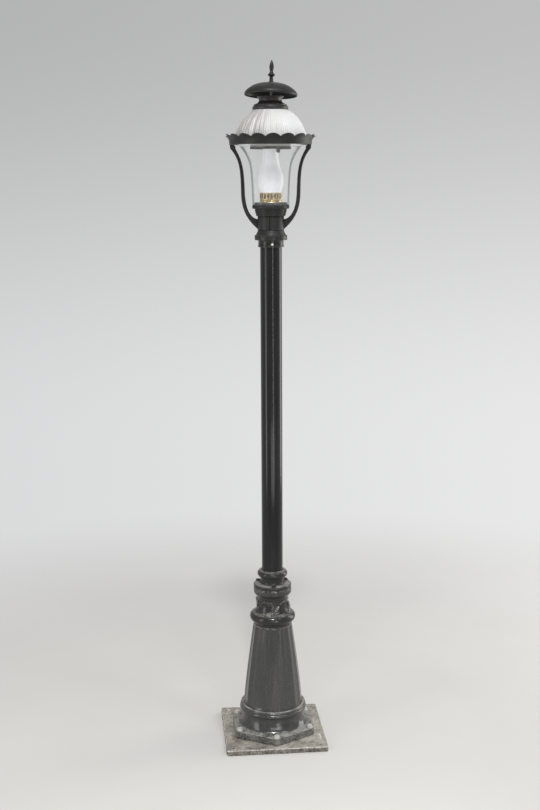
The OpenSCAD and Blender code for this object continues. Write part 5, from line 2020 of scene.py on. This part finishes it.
@dataclass
class Studio:
    """Camera, floor, lights and sky."""

    lens: float = 54.5
    camera: Vector = field(default_factory=lambda: Vector((-0.4064, -4.2757, 2.0673)))
    yaw: float = -5.351
    pitch: float = 10.804
    roll: float = -0.264
    sensor: float = 36.0

    def set_camera(self) -> None:
        """Makes the camera."""
        data = bpy.data.cameras.new("camera")
        data.lens, data.sensor_width, data.clip_end = self.lens, self.sensor, 100.0
        view = bpy.data.objects.new("camera", data)
        bpy.context.scene.collection.objects.link(view)
        view.matrix_world = (Matrix.Translation(self.camera) @ Matrix.Rotation(math.radians(self.yaw), 4, "Z")
                             @ Matrix.Rotation(math.radians(90 - self.pitch), 4, "X")
                             @ Matrix.Rotation(math.radians(self.roll), 4, "Z"))
        bpy.context.scene.camera = view

    def lamp(self, name: str, place: tuple, aim: tuple, wide: float, tall: float, watts: float,
             colour: Colour = (1, 1, 1)) -> None:
        """Makes a soft light of the given width and height at a place, aimed at a point, in metres."""
        data = bpy.data.lights.new(name, "AREA")
        data.shape, data.size, data.size_y = "RECTANGLE", wide, tall
        data.energy, data.color = watts, colour
        light = bpy.data.objects.new(name, data)
        bpy.context.scene.collection.objects.link(light)
        light.visible_camera = False
        light.location = place
        light.rotation_mode = "QUATERNION"
        light.rotation_quaternion = (Vector(aim) - Vector(place)).to_track_quat("-Z", "Y")

    def build(self) -> None:
        """Makes the floor, the lights and the sky."""
        mesh = bpy.data.meshes.new("floor")
        half, sunk = 30.0, -0.0005
        mesh.from_pydata([(-half, -half, sunk), (half, -half, sunk), (half, half, sunk),
                          (-half, half, sunk)], [],
                         [(0, 1, 2, 3)])
        mesh.materials.append(Ground((0.60, 0.585, 0.56), 0.9, 3.2).dress("pale_floor"))
        floor = bpy.data.objects.new("floor", mesh)
        bpy.context.scene.collection.objects.link(floor)
        self.lamp("overhead", (-0.4, -4.8, 8.8), (0, 0, 0.6), 5.0, 1.0, 170)
        self.lamp("spark", (-0.2, -4.7, 8.5), (0, 0, 0.6), 0.7, 0.7, 330)
        self.lamp("cool_side", (4.2, -3.8, 8.2), (0, 0, 0.4), 1.6, 1.2, 80, (0.66, 0.78, 1.0))
        self.lamp("low_card", (0.12, -1.35, 0.72), (0, 0, 0.2), 0.9, 0.42, 3.0)
        self.lamp("left_bank", (-3.2, -1.5, 1.5), (0, 0, 1.1), 1.0, 3.0, 32)
        self.lamp("front_strip", (1.0, -4.4, 1.3), (0, 0, 1.0), 0.30, 2.6, 22)
        self.lamp("right_bank", (3.0, 0.9, 1.6), (0, 0, 1.1), 1.4, 3.0, 50, (1.0, 0.985, 0.95))
        world = bpy.data.worlds.new("sky")
        bpy.context.scene.world = world
        world.use_nodes = True
        sky = Graph(world.node_tree)
        world.node_tree.nodes.clear()
        where = sky.add("ShaderNodeTexCoord").outputs["Generated"]
        across, ahead, rise = (sky.number("ShaderNodeSeparateXYZ", {}, {0: where},
                                          k) for k in (0, 1, 2))
        wall = sky.add("ShaderNodeMix", {"data_type": "RGBA"},
                       {0: across.edge(-0.35, 0.5), 6: (0.575, 0.578, 0.585, 1.0),
                        7: (0.70, 0.70, 0.70, 1.0)})
        shade = sky.add("ShaderNodeMix", {"data_type": "RGBA"},
                        {0: ahead.edge(-0.85, 0.1), 6: (0.48, 0.482, 0.487, 1.0), 7: wall.outputs[2]})
        back = sky.add("ShaderNodeBackground", None,
                       {"Color": shade.outputs[2], "Strength": 1.18 - rise.edge(-0.22, 0.14) * 0.42})
        sky.add("ShaderNodeOutputWorld", None, {"Surface": back.outputs[0]})
        bpy.context.scene.view_settings.view_transform = "Standard"


def corners(box: tuple[Vector, Vector]) -> list[list[float]]:
    """A box as plain lists."""
    return [list(box[0]), list(box[1])]


def main() -> None:
    """Builds the lamp post, piece by piece."""
    logging.basicConfig(level=logging.INFO, format="%(name)s: %(message)s")
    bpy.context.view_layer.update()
    studio = Studio()
    studio.set_camera()
    shop = Workshop()
    turn = lantern_turn()
    for assembly in (Base(), Pedestal(), Capital(), Collar(), Fitter(turn), Burner(turn), Crown(turn),
                     Dome(turn),
                     Hat(turn)):
        assembly.build(shop)
        log.info("%s is done", type(assembly).__name__)
    shop.dress_cad()
    studio.build()


if __name__ == "__main__":
    main()
